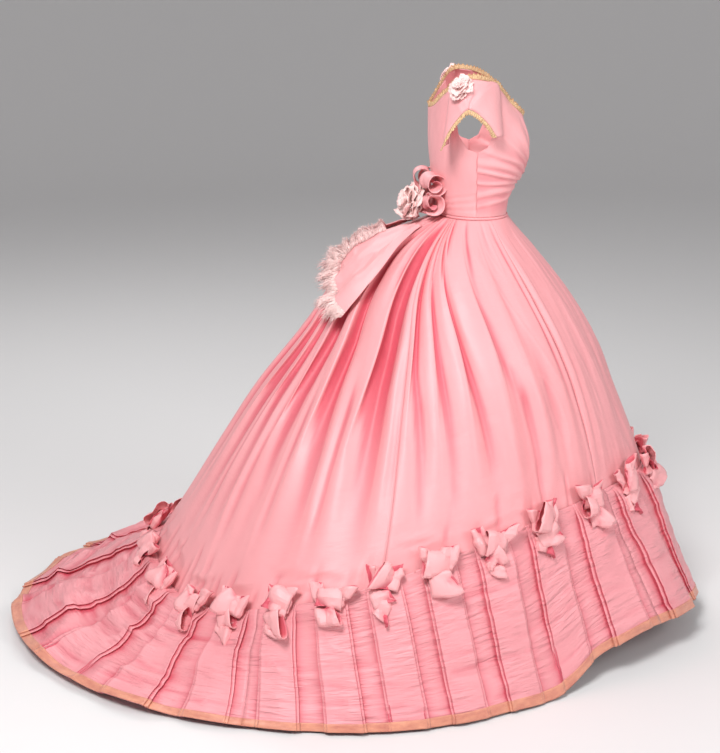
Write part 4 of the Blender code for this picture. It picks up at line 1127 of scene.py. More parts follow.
        front_r, back_r = seam(FLOUNCE_SPLITS[0]), seam(FLOUNCE_SPLITS[1])
        front_l, back_l = seam(-FLOUNCE_SPLITS[0]), seam(-FLOUNCE_SPLITS[1])
        top = int(np.argmin(np.abs(shares - self.ribbon_from)))
        lengths = (
            ("front", front_l, front_r, 1.55, 0.40), ("right", front_r, back_r, 2.0, 0.42),
            ("back", back_r, back_l + count, 2.6, 0.46), ("left", back_l, front_l, 2.0, 0.42),
        )
        for side, first, last, width, length in lengths:
            cols = np.arange(first, last + 1) % count
            part, out = grid[:, cols], normals[:, cols]
            wave = self.wrinkle.at(np.arange(len(cols)) / 3.0, 5.0)[None, :, None] * 0.0005
            ribbon = part[top:] + out[top:] * (0.0013 + wave)
            ribbon[..., 2] = np.maximum(ribbon[..., 2], FLOOR + 0.0010)
            band = ClothMesh(f"hem_ribbon_{side}_satin", 0.0006, self.finishes.ribbon).add(ribbon)
            wardrobe.hang(band.build(), f"hem_ribbon_{side}", "hem_ribbon",
                          (width, 0.027, Hold.FOLDED), band.area)
            sheet = ClothMesh(f"flounce_{side}_silk", self.cloth, self.finishes.pleated_painted_shade)
            sheet.add(part, tone=tone[:, cols])
            wardrobe.hang(sheet.build(), f"flounce_{side}", "silk", (width, length, Hold.FOLDED),
                          sheet.area)


@dataclass
class FlounceBows:
    """A bow of folded silk at the head of each box pleat."""

    skirt: SkirtForm
    flounce: FlounceForm
    finishes: Finishes
    cloth: float = 0.0008
    rows: int = 10
    cols: int = 22
    pinch_share: float = 0.060
    full_span: float = 0.14
    least: float = 0.76
    most: float = 0.95
    tabs: tuple[Tab, ...] = (
        # turn from upright, length, root half width, mouth half width, thickness, stand, skew,
        # shift of the root towards the back, its height, rise of the mouth for each metre
        Tab(-80.0, 0.060, 0.022, 0.030, 0.013, 0.010, 0.30, -0.027, 0.018, 0.24),
        Tab(76.0, 0.054, 0.019, 0.025, 0.011, 0.009, -0.35, 0.025, -0.024, 0.26),
        Tab(24.0, 0.056, 0.014, 0.017, 0.006, 0.011, -0.90, -0.012, 0.008, 0.10),
        Tab(168.0, 0.050, 0.014, 0.017, 0.006, 0.007, 0.80, 0.010, -0.008, 0.05),
        Tab(-9.0, 0.058, 0.013, 0.016, 0.007, 0.008, 0.50, 0.018, 0.004, 0.10),
    )
    crumple: Noise = field(default_factory=lambda: Noise(31))

    @staticmethod
    def facets(x: Array, y: Array, seed: int) -> Array:
        """Flat planes that meet in crisp folds, from -1 to 1."""
        planes = [a * x + b * y + c for a, b, c in
                  np.random.default_rng(seed).uniform(-1.0, 1.0, (8, 3)) * (1.9, 1.9, 0.6)]
        return np.clip(np.maximum.reduce([np.minimum(planes[k], planes[k + 1]) for k in (0, 2, 4, 6)]),
                       -1.0, 1.0)

    def tab(self, tab: Tab, pinch: Array, axes: tuple[Array, Array, Array], number: int,
            index: int, scale: float) -> tuple[Array, Array]:
        """One fold of a bow.

        Args:
            tab: The fold's sizes.
            pinch: The bow's middle.
            axes: Up along the skirt, towards the back along the seam, and away from the cloth.
            number: The bow's number, which makes each a little unlike the others.
            index: The fold's number.
            scale: Size against the table.

        Returns:
            A closed grid of points from the root to the mouth, and the painted shade at each.
        """
        up, side, out = axes
        mood = math.sin(2.3 * number + 1.9 * index)
        turn = math.radians(tab.turn + 9.0 * mood)
        along = up * math.cos(turn) - side * math.sin(turn)
        wide = up * math.sin(turn) + side * math.cos(turn)
        t = np.linspace(0.0, 1.0, self.rows)[:, None]
        phi = np.linspace(0.0, 2 * math.pi, self.cols, endpoint=False)[None, :]
        width = tab.root + (tab.mouth * (1 + 0.15 * mood) - tab.root) * ease(t * 1.15) ** 0.8
        thick = tab.thick * (0.25 + 0.75 * np.sin(np.pi * np.clip(0.12 + 0.72 * t, 0, 1)))
        x = np.sign(np.cos(phi)) * np.abs(np.cos(phi)) ** 0.8 * width
        y = np.sign(np.sin(phi)) * np.abs(np.sin(phi)) ** 0.7 * thick
        y = np.where(y < 0, y * 0.45, y)
        reach = tab.length * (1 + 0.14 * math.sin(3.7 * number + index)) * t
        reach = reach + tab.skew * x * t ** 2 * (0.8 + 0.4 * mood)
        rise = tab.stand + y + reach * tab.lean * (1 + 0.6 * mood)
        root = pinch + side * tab.shift + up * (tab.raise_by * (1 + 0.2 * mood))
        grid = (root + along * (reach * scale)[..., None] + wide * (x * scale)[..., None]
                + out * rise[..., None])
        if np.mean(np.sum(facing(grid, True) * (grid - grid.mean(axis=1, keepdims=True)), -1)) < 0:
            grid, x, y, reach = grid[:, ::-1], x[:, ::-1], y[:, ::-1], reach[:, ::-1]
        rough = self.crumple.at(x / 0.009 + 5 * index, reach / 0.011 + 3 * number) * 0.0022
        fold = self.facets(x / tab.mouth, 2 * reach / tab.length - 1, 50 * number + index) * 0.0085
        # painted shade on each tab's underside and in its sunk facets
        tone = ease(-y / (0.3 * tab.thick)) * 0.8 + 0.7 * ease((0.0005 - fold) / 0.007)
        return raised(grid, rough + fold, closed=True), np.clip(tone, 0, 0.9) * np.ones_like(t)

    def build(self, wardrobe: Wardrobe) -> None:
        """Makes the bows all the way round."""
        for number, (spot, before, after) in enumerate(self.flounce.pleats(), start=1):
            angle, low = np.array([spot]), np.array([0.30 * KNEE])
            out = unit(self.flounce.normal(angle, low)[0] + self.skirt.normal(angle, np.array([0.96]))[0])
            upper = self.skirt.base(angle, np.array([0.93]))[0]
            lower = self.flounce.base(angle, np.array([0.2]))[0]
            up = unit(upper - lower)
            up = unit(up - out * np.dot(up, out))
            side = np.cross(out, up) * float(side_sign(spot))
            pinch = self.flounce.base(angle, np.array([self.pinch_share]))[0] + out * 0.006
            span = np.linalg.norm(self.flounce.base(np.array([after]), low)[0]
                                  - self.flounce.base(np.array([before]), low)[0])
            scale = min(max(span / self.full_span, self.least), self.most)
            axes = (up, side, out)
            piece = ClothMesh(f"flounce_bow_{number:02d}_silk", self.cloth, self.finishes.light,
                              crisp=17.0)
            for index, tab in enumerate(self.tabs):
                grid, tone = self.tab(tab, pinch, axes, number, index, scale)
                piece.add(grid, closed=True, tone=tone)
            wardrobe.hang(piece.build(), f"flounce_bow_{number:02d}", "silk_light",
                          (0.20, 0.16, Hold.FOLDED), piece.area, [f"flounce_{self._length(spot)}_silk"])

    @staticmethod
    def _length(spot: float) -> str:
        """The name of the flounce length that an angle lies on."""
        if abs(spot) < FLOUNCE_SPLITS[0]:
            return "front"
        if abs(spot) > FLOUNCE_SPLITS[1]:
            return "back"
        return "right" if spot > 0 else "left"


@dataclass
class Bodice:
    """The draped front and the two plain back pieces."""

    form: BodiceForm
    finishes: Finishes
    cloth: float = 0.0009
    rows: int = 88
    gather_height: float = 0.077
    level: float = 0.150
    arc: float = 0.0021
    fan: tuple[tuple[float, float, float], ...] = (
        # direction from the gather, half width, height of the ridge
        (-12.0, 4.0, 0.0020), (-3.0, 4.0, 0.0032), (5.0, 3.6, 0.0030), (12.5, 4.0, 0.0036),
        (20.0, 4.2, 0.0032), (29.0, 5.0, 0.0034), (39.0, 5.5, 0.0028), (50.0, 6.0, 0.0030),
        (60.0, 5.5, 0.0026), (69.0, 5.0, 0.0024), (77.0, 4.5, 0.0022), (85.0, 4.0, 0.0020),
    )
    fine: Noise = field(default_factory=lambda: Noise(41))

    def drapery(self, angles: Array, height: Array) -> Array:
        """How far the front's folds stand out: they fan from a gather low on the centre front."""
        across = fold_angle(angles)[None, :] * self.arc
        left = (side_sign(angles) < 0)[None, :]
        rise = height - self.gather_height
        reach = np.hypot(across, rise)
        turn = np.degrees(np.arctan2(rise, np.maximum(across, 1e-6)))
        turn = turn - 26.0 * ease((reach - 0.02) / 0.24) * ease((turn - 30.0) / 60.0)
        lift = np.zeros_like(height)
        for k, (way, half, high) in enumerate(self.fan):
            middle = way + 0.8 * np.sin(4.0 * reach / 0.1 + 2.0 * k) + left * 2.0 * math.sin(3.1 * k)
            t = (turn - middle) / (half * (1 + 0.35 * math.sin(1.9 * k)))
            t = t + 0.45 * np.clip(1 - t * t, 0, 1)
            fade = ease((reach - 0.004) / 0.03) * (1 - 0.45 * ease((reach - 0.10) / 0.12))
            lift = lift + 1.7 * high * hump(t) * fade
        bunch = np.exp(-(reach / 0.020) ** 2) * 0.0045
        knots = self.fine.at(across / 0.006, rise / 0.005) * np.exp(-(reach / 0.030) ** 2) * 0.0028
        top = self.form.top(angles)[None, :]
        edge = ease((top - height) / 0.02)
        return (lift + bunch + knots) * edge * ease(height / 0.02)

    def part(self, name: str, angles: Array, width: float, drape: bool, wardrobe: Wardrobe) -> None:
        """One piece of the bodice between two angles."""
        top = self.form.top(angles)[None, :]
        share = np.linspace(1.0, 0.0, self.rows)[:, None]
        height = np.where(share > 0.5, self.level + (top - self.level) * (2 * share - 1),
                          BAND_HALF_HEIGHT + (self.level - BAND_HALF_HEIGHT) * 2 * share)
        grid = self.form.point(angles[None, :] + 0 * share, height)
        lift = self.fine.at(angles[None, :] / 9.0, height / 0.05) * 0.0007
        folded = fold_angle(angles)[None, :]
        if drape:
            lift = lift + self.drapery(angles, height)
        else:
            for start, drop in ((0.012, 0.10), (0.022, 0.18), (0.034, 0.24)):
                middle = start + drop * ((180.0 - folded) / 90.0) ** 1.5 * 0.12
                lift = lift - 0.0010 * hump((height - middle) / 0.006) * ease((168 - folded) / 30)
            lift = lift - 0.0006 * hump((folded - 150.0 - 30 * height) / 1.6)
        grid = raised(grid, lift)
        # painted shade in the troughs between the front's draped folds, none near the top edge or the
        # waist
        tone = 0.30 * drape * ease((0.0022 - lift) / 0.0024) * ease((0.185 - height) / 0.05)
        sheet = ClothMesh(name + "_silk", self.cloth, self.finishes.light)
        sheet.add(grid, tone=tone * ease(height / 0.03))
        wardrobe.hang(sheet.build(), name, "silk_light", (width, 0.33, Hold.STRETCHED), sheet.area)

    def build(self, wardrobe: Wardrobe) -> None:
        """Makes the three pieces of the bodice."""
        self.part("bodice_front", np.linspace(-UNDERARM, UNDERARM, 193), 0.44, True, wardrobe)
        self.part("bodice_back_right", np.linspace(UNDERARM, 180.0, 71), 0.21, False, wardrobe)
        self.part("bodice_back_left", np.linspace(180.0, 360.0 - UNDERARM, 71), 0.21, False, wardrobe)


@dataclass
class Sleeves:
    """Two short caps, each open in an upturned V over the arm, and their lace."""

    bodice: BodiceForm
    finishes: Finishes
    puff: float = 0.009
    stand: float = 0.0059
    cloth: float = 0.0009
    lace_depth: float = 0.0135
    fine: Noise = field(default_factory=lambda: Noise(51))

    def grid(self, rows: int = 16, cols: int = 72) -> Array:
        """The right cap's outer points: rows across the cap, columns from front to back."""
        inner_edge, outer_edge = [], []
        for angle, share, forward, side, height in SLEEVE_ROWS:
            level = float(table_value(NECKLINE, np.array([angle]), 2)[0]) * share
            inner_edge.append(self.bodice.point(np.array([angle]), np.array([level]))[0])
            outer_edge.append((-side, -forward, height))
        knots = np.arange(len(SLEEVE_ROWS), dtype=float)
        marks = np.linspace(0.0, knots[-1], cols)
        inner, outer = (np.stack([smooth(marks, knots, np.array(edge)[:, k]) for k in range(3)], axis=1)
                        for edge in (inner_edge, outer_edge))
        blend = np.linspace(0.0, 1.0, rows)[:, None, None]
        row = inner[None] * (1 - blend) + outer[None] * blend
        away = unit(row - np.array(SLEEVE_CENTRE))
        return row + away * (self.puff * 4 * blend * (1 - blend) + self.stand)

    def lace(self, grid: Array) -> Array:
        """The gathered lace along the cap's free edge."""
        cols = 260
        marks = np.linspace(0, grid.shape[1] - 1, cols)
        known = np.arange(grid.shape[1])

        def spread(values: Array) -> Array:
            """Values along the edge, read at the lace's columns."""
            return np.stack([np.interp(marks, known, values[:, k]) for k in range(3)], axis=1)

        hang = unit(spread(unit(grid[-1] - grid[-2])))
        out = unit(spread(facing(grid)[-1]))
        edge = spread(grid[-1])
        t = np.linspace(0.0, 1.0, 6)[:, None]
        far = np.concatenate([[0.0], np.cumsum(np.linalg.norm(np.diff(edge, axis=0), axis=1))])[None, :]
        wave = (np.sin(far / 0.0062 * 2 * math.pi) + 0.7 * self.fine.at(far / 0.009, 1.0)) * 0.0019 * t
        scallop = 1 - 0.28 * np.abs(np.sin(far / 0.0085 * math.pi))
        depth = self.lace_depth * t * scallop + 0.0004
        return edge[None] + hang[None] * depth[..., None] + out[None] * (wave + 0.0012 * t)[..., None]

    def build(self, wardrobe: Wardrobe) -> None:
        """Makes both caps and their lace."""
        grid = self.grid()
        rows, cols = grid.shape[:2]
        u, v = np.linspace(0, 1, cols)[None, :], np.linspace(0, 1, rows)[:, None]
        lift = self.fine.at(u * 7, v * 3) * 0.0012 - 0.0016 * hump((u - 0.36 - 0.10 * v) / 0.02)
        lift = lift + 0.0016 * hump((u - 0.70 + 0.1 * v) / 0.05)
        lift = lift - 0.0014 * hump((u - 0.30 - 0.16 * v) / 0.03)
        grid = raised(grid, lift)
        lace = self.lace(grid)
        for side, mirror in SIDES:
            sheet = ClothMesh(f"sleeve_{side}_silk", self.cloth, self.finishes.light).add(grid)
            wardrobe.hang(sheet.build(mirror), f"sleeve_{side}", "silk_light",
                          (0.26, 0.11, Hold.STRETCHED), sheet.area)
            strip = ClothMesh(f"sleeve_lace_{side}_frill", 0.0005, self.finishes.sleeve_lace).add(lace)
            wardrobe.hang(strip.build(mirror), f"sleeve_lace_{side}", "lace",
                          (0.36, 0.0150, Hold.GATHERED), strip.area)


@dataclass
class NeckLace:
    """The gathered lace edging that stands up from the neckline all round."""

    finishes: Finishes
    depth: float = 0.015
    lift: float = 0.0036

    def build(self, wardrobe: Wardrobe) -> None:
        """Makes the edging."""
        angles = np.linspace(0.0, 360.0, 900, endpoint=False)
        folded = fold_angle(angles)
        distance = table_value(NECKLINE, angles, 1)
        cap = ease((folded - 70.0) / 8.0) * ease((126.0 - folded) / 6.0)
        foot = table_value(NECKLINE, angles, 2) + 0.0004 + cap * self.lift
        far = np.concatenate([[0.0], np.cumsum(np.linalg.norm(
            np.diff(place(angles, distance, foot), axis=0), axis=1))])[None, :]
        t = np.linspace(1.0, 0.0, 6)[:, None]
        count = round(float(far[0, -1]) / 0.0066)
        turn = far / far[0, -1] * 2 * math.pi
        wave = np.sin(turn * count) + 0.6 * np.sin(turn * 37 + 1.3) + 0.5 * np.sin(turn * 71)
        wave = wave * 0.0014 * t
        scallop = 1 - 0.30 * np.abs(np.sin(turn * 46))
        height = foot + self.depth * t * scallop * (1 + 0.08 * np.sin(turn * 13))
        grid = place(angles[None, :] + 0 * t, distance[None, :] + wave + 0.0012 * t - 0.0004, height)
        sheet = ClothMesh("neck_lace_frill", 0.0005, self.finishes.neck_lace).add(grid, closed=True)
        wardrobe.hang(sheet.build(), "neck_lace", "lace", (1.55, 0.0155, Hold.GATHERED), sheet.area)


@dataclass
class Rosette:
    """A bunch of pinked petals in rings round a middle."""

    centre: tuple[float, ...]
    normal: tuple[float, ...]
    radius: float
    thickness: float
    rings: tuple[tuple[float, int, float], ...]
    seed: int
    notch: float = 0.0016

    def fill(self, piece: ClothMesh) -> None:
        """Adds the petals to a piece of cloth."""
        rng = np.random.default_rng(self.seed)
        normal = unit(self.normal)
        across = unit(np.cross(normal, (0.0, 0.0, 1.0)))
        upward = np.cross(normal, across)
        s = np.linspace(0.0, 1.0, 7)[:, None]
        t = np.linspace(-1.0, 1.0, 9)[None, :]
        for reach, petals, tilt in self.rings:
            for k in range(petals):
                turn = 2 * math.pi * (k + rng.uniform(-0.3, 0.3)) / petals
                lean = tilt + rng.uniform(-0.22, 0.22)
                ray = across * math.cos(turn) + upward * math.sin(turn)
                way = unit(ray * math.cos(lean) + normal * math.sin(lean))
                wide = np.cross(normal, ray)
                face = unit(np.cross(wide, way)) * -1.0
                length = self.radius * reach * rng.uniform(0.85, 1.12)
                half = length * rng.uniform(0.42, 0.58)
                spread = half * (0.25 + 0.95 * np.sin(np.pi * (0.10 + 0.62 * s)))
                notch = self.notch * np.where(np.arange(9) % 2, 1.0, -0.4)[None, :] * s ** 4
                out = length * s + notch - 0.25 * half * t ** 2 * s
                cup = rng.uniform(-0.5, 0.9) * half * t ** 2 * s + 0.12 * half * np.sin(5 * t + 9 * s + k)
                curl = -0.35 * length * s ** 2 * rng.uniform(0.2, 1.0)
                root = np.array(self.centre) + normal * self.thickness * (0.25 + 0.55 * math.sin(lean))
                grid = (root + way * out[..., None] + wide * (spread * t)[..., None]
                        + face * (cup + curl)[..., None])
                piece.add(grid)


def threads(name: str, roots: Array, ways: Array, lengths: Array, width: float,
            finish: bpy.types.Material, mirror: bool = False) -> bpy.types.Object:
    """Thin tapered threads, each a closed three-sided tube that bends on its way.

    Args:
        name: The piece's name.
        roots: Where each thread starts.
        ways: Three directions for each thread, of its start, middle and end.
        lengths: How long each is.
        width: Thickness at the root.
        finish: The material.
        mirror: Whether the piece is the twin on the wearer's other side.

    Returns:
        The finished object.
    """
    count = len(roots)
    steps = (0.0, 0.34, 0.68, 1.0)
    middle = [roots]
    for k in range(3):
        middle.append(middle[-1] + ways[:, k] * (lengths * (steps[k + 1] - steps[k]))[:, None])
    flip = MIRROR if mirror else np.ones(3)
    across = unit(np.cross(ways[:, 0], np.array([0.31, 0.52, 0.79])))
    other = unit(np.cross(ways[:, 0], across))
    points = []
    for ring, taper in enumerate((1.0, 0.8, 0.5)):
        for corner in range(3):
            turn = 2 * math.pi * corner / 3
            swing = across * math.cos(turn) + other * math.sin(turn)
            points.append((middle[ring] + swing * width * taper * 0.5) * flip)
    points.append(middle[3] * flip)
    stacked = np.stack(points, axis=1).reshape(-1, 3)
    one = [(0, 2, 1)]
    for ring in range(2):
        for corner in range(3):
            a, b = ring * 3 + corner, ring * 3 + (corner + 1) % 3
            one.extend([(a, b, b + 3), (a, b + 3, a + 3)])
    one.extend([(6 + corner, 6 + (corner + 1) % 3, 9) for corner in range(3)])
    faces = (np.array(one)[None] + (np.arange(count) * 10)[:, None, None]).reshape(-1, 3)
    if mirror:
        faces = faces[:, ::-1]
    cloth = stacked[faces.ravel()][:, [0, 2]]
    return new_piece(name, stacked, faces, cloth, np.zeros(faces.size), finish)


@dataclass
class ShoulderRosettes:
    """A crumpled rosette of pinked silk on each shoulder."""

    sleeves: Sleeves
    finishes: Finishes

    def build(self, wardrobe: Wardrobe) -> None:
        """Makes the pair."""
        grid = self.sleeves.grid(4, 9)
        spot = 0.5 * (grid[1, 4] + grid[1, 5])
        normal = unit(facing(grid)[1, 4] + facing(grid)[1, 5] + np.array([0.0, 0.0, 0.35]))
        rings = ((1.0, 9, 0.15), (0.85, 8, 0.55), (0.62, 6, 0.95), (0.42, 4, 1.3))
        rosette = Rosette(tuple(spot + normal * 0.001), tuple(normal), 0.029, 0.013, rings, 71)
        for side, mirror in SIDES:
            piece = ClothMesh(f"shoulder_rosette_{side}_petals", 0.0006, self.finishes.frayed)
            rosette.fill(piece)
            wardrobe.hang(piece.build(mirror), f"shoulder_rosette_{side}", "silk_frayed",
                          (0.26, 0.075, Hold.GATHERED), piece.area, [f"sleeve_{side}_silk"])


@dataclass
class BackBow:
    """The bow behind the waist: a knot, two rolled side loops, an upright loop and a frayed bunch."""

    finishes: Finishes
    cloth: float = 0.0010
    steps: int = 64
    rolls: tuple[tuple[Any, ...], ...] = (
        # centre, first and last radius, start and number of turns, place across, way across, width, seed
        ((0.119, 0.081), (0.004, 0.0270), 0.1, 1.70, -0.068, (1.0, 0.32, 0.05), 0.060, 1.0),
        ((0.121, 0.031), (0.006, 0.0250), 0.6, 1.25, -0.064, (1.0, 0.32, -0.1), 0.056, 6.0),
    )
    crumple: Noise = field(default_factory=lambda: Noise(81))

    def strip(self, path: Array, across: Any, width: float, seed: float) -> Array:
        """A crumpled ribbon along a path of points, as wide as given along one direction."""
        direction = unit(across)
        side = unit(np.cross(direction, np.gradient(path, axis=0)))
        edges = np.linspace(-1.0, 1.0, 13)[:, None]
        ends = np.abs(np.linspace(-1, 1, len(path)))[None, :]
        grid = (path[None] + direction * (edges * 0.5 * width * (1.0 - 0.40 * ends ** 3))[..., None]
                - side[None] * (0.005 * edges ** 2)[..., None])
        u = np.linspace(0, 7, len(path))[None, :]
        return raised(grid, self.crumple.at(u + seed, edges * 2) * 0.0026
                      + self.crumple.creased(u * 0.8 + seed, edges * 1.5, 5.0) * 0.002)

    def roll(self, centre: tuple[float, float], radii: tuple[float, float], start: float,
             turns: float, x: float) -> Array:
        """A spiral of points across the wearer's side, wound out from its middle."""
        t = np.linspace(0.0, 1.0, self.steps)
        turn = 2 * math.pi * (start + turns * t)
        radius = radii[0] + (radii[1] - radii[0]) * t
        return np.stack([np.full_like(t, x), centre[0] + radius * np.cos(turn),
                         centre[1] + radius * np.sin(turn)], axis=1)

    def build(self, wardrobe: Wardrobe) -> None:
        """Makes the bow's five pieces."""
        for side, mirror in SIDES:
            piece = ClothMesh(f"back_bow_loop_{side}_silk", self.cloth, self.finishes.light)
            # painted shade in the inner turns of each roll
            deep = 0.55 * ease((26.0 - np.arange(self.steps)) / 20.0)[None, :]
            for centre, radii, start, turns, x, across, width, seed in self.rolls:
                path = self.roll(centre, radii, start, turns, x)
                piece.add(self.strip(path, across, width, seed), tone=deep)
            wardrobe.hang(piece.build(mirror), f"back_bow_loop_{side}", "silk_light",
                          (0.34, 0.062, Hold.FOLDED), piece.area)
        t = np.linspace(0.07, 0.93, 48)
        out = 0.5 * (1 - np.cos(2 * np.pi * t))
        path = np.stack([0 * t, 0.138 + 0.006 * out + 0.023 * np.sin(2 * np.pi * t) * (0.35 + 0.65 * out),
                         0.0555 + 0.050 * out], axis=1)
        piece = ClothMesh("back_bow_upper_loop_silk", self.cloth, self.finishes.light)
        piece.add(self.strip(path, (1.0, 0.0, 0.0), 0.058, 3.0))
        wardrobe.hang(piece.build(), "back_bow_upper_loop", "silk_light",
                      (0.15, 0.058, Hold.FOLDED), piece.area)
        piece = ClothMesh("back_bow_rosette_petals", 0.0006, self.finishes.frayed)
        rings = ((1.0, 12, 0.05), (0.95, 11, 0.45), (0.75, 8, 0.8), (0.5, 6, 1.2))
        Rosette((0.0, 0.150, 0.024), (-0.35, 1.0, 0.30), 0.048, 0.030, rings, 83).fill(piece)
        wardrobe.hang(piece.build(), "back_bow_rosette", "silk_frayed",
                      (0.56, 0.13, Hold.GATHERED), piece.area)
        piece = ClothMesh("back_bow_knot_silk", self.cloth, self.finishes.light)
        angles = np.linspace(0, 2 * math.pi, 48, endpoint=False)
        rows = np.linspace(-1.0, 1.0, 15)[:, None]
        swell = 0.0150 + 0.0055 * rows ** 2 + 0.0014 * np.sin(7 * angles + 2 * rows)
        grid = np.stack([swell * np.cos(angles) * 1.1, 0.126 + swell * np.sin(angles) * 1.05,
                         0.028 - rows * 0.028 + 0 * angles], axis=-1)
        if np.mean(facing(grid, True)[7, :, 1] * (grid[7, :, 1] - 0.126)) < 0:
            grid = grid[:, ::-1]
        piece.add(grid, closed=True)
        wardrobe.hang(piece.build(), "back_bow_knot", "silk_light",
                      (0.13, 0.060, Hold.FOLDED), piece.area)


@dataclass
class SashTails:
    """Two wide sash tails that fall over the back of the skirt, and their frayed edges."""

    skirt: SkirtForm
    finishes: Finishes
    cloth: float = 0.0010
    curl: float = 0.008
    threads_each: int = 1900
    crumple: Noise = field(default_factory=lambda: Noise(91))

    def grid(self, rows: int = 46, cols: int = 44) -> Array:
        """The right tail's outer points."""
        knots = np.arange(len(TAIL_ROWS), dtype=float)
        marks = np.linspace(0.0, knots[-1], rows)
        table = np.array(TAIL_ROWS)
        inner_angle, inner_share, outer_angle, outer_share, stand = (
            smooth(marks, knots, table[:, k])[:, None] for k in range(5))
        blend = np.linspace(0.0, 1.0, cols)[None, :]
        angle = inner_angle + (outer_angle - inner_angle) * blend
        share = inner_share + (outer_share - inner_share) * blend
        point = self.skirt.plain(angle, share)
        normal = slope_normal(self.skirt.plain, angle, share, (0.5, 0.01))
        down = np.linspace(0.0, 1.0, rows)[:, None]
        curl = self.curl * np.sin(np.pi * blend * 3) * blend
        curl = curl + 0.004 * np.sin(np.pi * blend * 5 + 2 * down) * down
        curl = curl + self.crumple.at(blend * 6, down * 7) * 0.0020
        curl = curl + self.crumple.creased(blend * 5 + 3, down * 4, 6.0) * 0.0030 * ease(down / 0.2)
        return (point + normal * (stand + np.maximum(curl, -0.6 * stand))[..., None])[:, ::-1]

    def fringe(self, grid: Array) -> tuple[Array, Array, Array]:
        """Roots, directions and lengths of the right tail's loose threads."""
        normals = facing(grid)
        edge = np.concatenate([grid[12:, -1], grid[-1, -2::-1]])
        inside = np.concatenate([grid[12:, -3], grid[-3, -2::-1]])
        out = np.concatenate([normals[12:, -1], normals[-1, -2::-1]])
        away = edge - inside
        away = unit(away - out * np.sum(away * out, axis=-1, keepdims=True))
        far = np.concatenate([[0.0], np.cumsum(np.linalg.norm(np.diff(edge, axis=0), axis=1))])
        rng = np.random.default_rng(97)
        marks = rng.uniform(0.0, far[-1], self.threads_each)

        def spread(values: Array) -> Array:
            """Values along the edge, read at the threads' roots."""
            return np.stack([np.interp(marks, far, values[:, k]) for k in range(3)], axis=1)

        share = marks / far[-1]
        roots, out, away = spread(edge), unit(spread(out)), unit(spread(away))
        along = unit(np.cross(out, away))
        clump = self.crumple.at(marks / 0.016, 1.0)
        tuft_way = np.sin(np.round(marks / 0.0055) * 2.4)
        lean = np.interp(share, (0.0, 0.33, 0.5, 1.0), (1.9, 1.6, 1.0, 0.6))
        roots = roots - away * rng.uniform(0.0, 0.016, len(marks))[:, None]
        length = np.interp(share, (0.0, 0.33, 0.5, 1.0), (0.030, 0.046, 0.055, 0.060))
        length = length * (0.85 + 0.30 * clump) * rng.uniform(0.55, 1.15, len(marks))
        ways = []
        for bend in (0.0, 0.5, 1.0):
            wild = rng.normal(0.0, 0.15 + 0.28 * bend, (len(marks), 3))
            way = away + out * (lean * (1 - 0.45 * bend) + 0.3 * clump)[:, None]
            way = way + along * (1.1 * clump + 0.9 * tuft_way * bend)[:, None] + wild
            way[:, 2] -= 0.5 * bend
            ways.append(unit(way))
        return roots, np.stack(ways, axis=1), length

    def build(self, wardrobe: Wardrobe) -> None:
        """Makes both tails and their fringes."""
        grid = self.grid()
        roots, ways, lengths = self.fringe(grid)
        for side, mirror in SIDES:
            tuft = threads(f"tail_fringe_{side}_threads", roots, ways, lengths, 0.0021,
                           self.finishes.frayed, mirror)
            wardrobe.hang(tuft, f"tail_fringe_{side}", "silk_frayed")
            sheet = ClothMesh(f"sash_tail_{side}_silk", self.cloth, self.finishes.light).add(grid)
            wardrobe.hang(sheet.build(mirror), f"sash_tail_{side}", "silk_light",
                          (0.30, 0.24, Hold.DRAPED), sheet.area,
                          [f"skirt_back_{side}_silk"], [tuft])


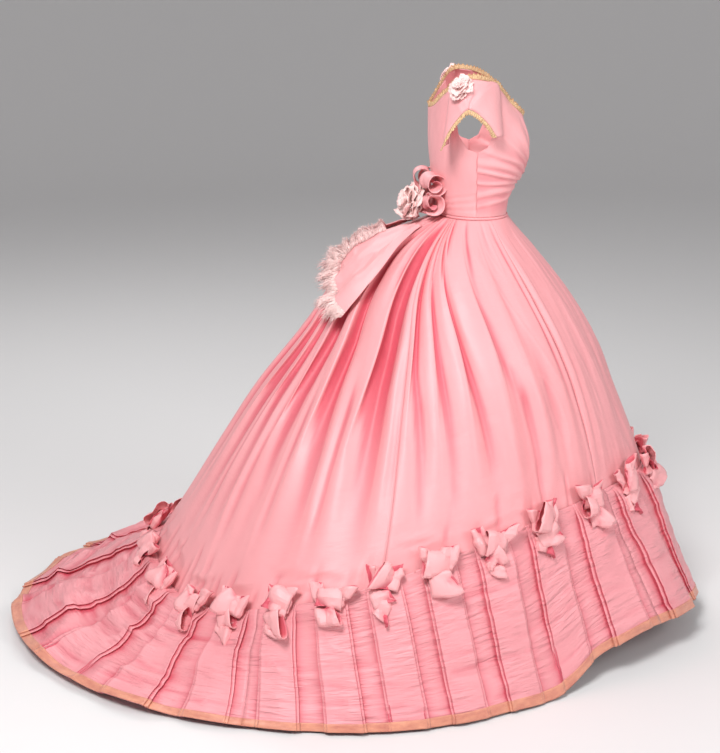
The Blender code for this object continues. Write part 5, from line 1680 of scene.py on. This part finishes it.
@dataclass
class Studio:
    """The lights, the camera and a floor that is flat in the middle and swept up all round."""

    camera_place: tuple[float, float, float] = (-3.85, 0.295, 0.593)
    camera_down: float = 14.82
    lens: float = 74.15
    sensor: float = 36.0
    backdrop: tuple[float, float, float] = (0.93, 0.92, 0.93)
    backdrop_strength: float = 0.42
    flat: float = 8.0
    bend: float = 5.0
    lamps: tuple[tuple[str, tuple[float, float, float], float, float], ...] = (
        # name, place, power, size
        ("key", (-3.2, 1.2, 2.8), 175.0, 1.3),
        ("fill", (-2.7, -3.1, 1.9), 72.0, 2.0),
        ("rim", (2.8, 1.5, 2.8), 45.0, 2.0),
    )
    aim: tuple[float, float, float] = (0.0, 0.25, -0.45)

    def build(self) -> None:
        """Makes the floor, the lights and the camera."""
        shader = ShaderTree("studio floor")
        shader.principled.inputs["Base Color"].default_value = (0.78, 0.77, 0.77, 1.0)
        shader.principled.inputs["Roughness"].default_value = 0.9
        turn = np.linspace(0.0, 0.5 * np.pi, 17)
        reach = np.append(self.flat + self.bend * np.sin(turn), self.flat + self.bend)
        rise = np.append(self.bend * (1 - np.cos(turn)), 1.6 * self.bend) + FLOOR - 0.0005
        way = np.radians(np.arange(0.0, 360.0, 3.75))
        count = len(way)
        corners = np.stack([np.cos(way) * reach[:, None], np.sin(way) * reach[:, None],
                            rise[:, None] + 0 * way], axis=-1).reshape(-1, 3)
        sides = [(k * count + a, k * count + (a + 1) % count, (k + 1) * count + (a + 1) % count,
                  (k + 1) * count + a) for k in range(len(reach) - 1) for a in range(count)]
        mesh = bpy.data.meshes.new("studio_floor")
        mesh.from_pydata(corners.tolist(), [], [tuple(range(count))] + [side[::-1] for side in sides])
        mesh.shade_smooth()
        mesh.materials.append(shader.material)
        floor = bpy.data.objects.new("studio_floor", mesh)
        bpy.context.scene.collection.objects.link(floor)

        world = bpy.data.worlds.new("studio")
        world.use_nodes = True
        backdrop = world.node_tree.nodes["Background"]
        backdrop.inputs["Color"].default_value = (*self.backdrop, 1.0)
        backdrop.inputs["Strength"].default_value = self.backdrop_strength
        bpy.context.scene.world = world

        for name, spot, power, size in self.lamps:
            lamp = bpy.data.lights.new(name, "AREA")
            lamp.energy = power
            lamp.size = size
            holder = bpy.data.objects.new(name, lamp)
            holder.location = spot
            holder.rotation_euler = (Vector(self.aim) - Vector(spot)).to_track_quat("-Z", "Y").to_euler()
            bpy.context.scene.collection.objects.link(holder)

        lens = bpy.data.cameras.new("camera")
        lens.lens = self.lens
        lens.sensor_width = self.sensor
        camera = bpy.data.objects.new("camera", lens)
        camera.location = self.camera_place
        camera.rotation_euler = (math.radians(90.0 - self.camera_down), 0.0, math.radians(-90.0))
        bpy.context.scene.collection.objects.link(camera)
        bpy.context.scene.camera = camera
        bpy.context.scene.view_settings.view_transform = "Standard"


def main() -> None:
    """Builds the studio and the dress, piece by piece."""
    logging.basicConfig(level=logging.INFO, format="%(name)s: %(message)s")
    Studio().build()
    finishes = Finishes()
    wardrobe = Wardrobe()
    skirt = SkirtForm()
    flounce = FlounceForm(skirt)
    bodice = BodiceForm()
    sleeves = Sleeves(bodice, finishes)
    Skirt(skirt, finishes).build(wardrobe)
    Flounce(flounce, finishes).build(wardrobe)
    FlounceBows(skirt, flounce, finishes).build(wardrobe)
    Bodice(bodice, finishes).build(wardrobe)
    sleeves.build(wardrobe)
    NeckLace(finishes).build(wardrobe)
    ShoulderRosettes(sleeves, finishes).build(wardrobe)
    BackBow(finishes).build(wardrobe)
    SashTails(skirt, finishes).build(wardrobe)
    LOG.info("%d pieces with %d triangles", wardrobe.count, wardrobe.triangles)


if __name__ == "__main__":
    main()
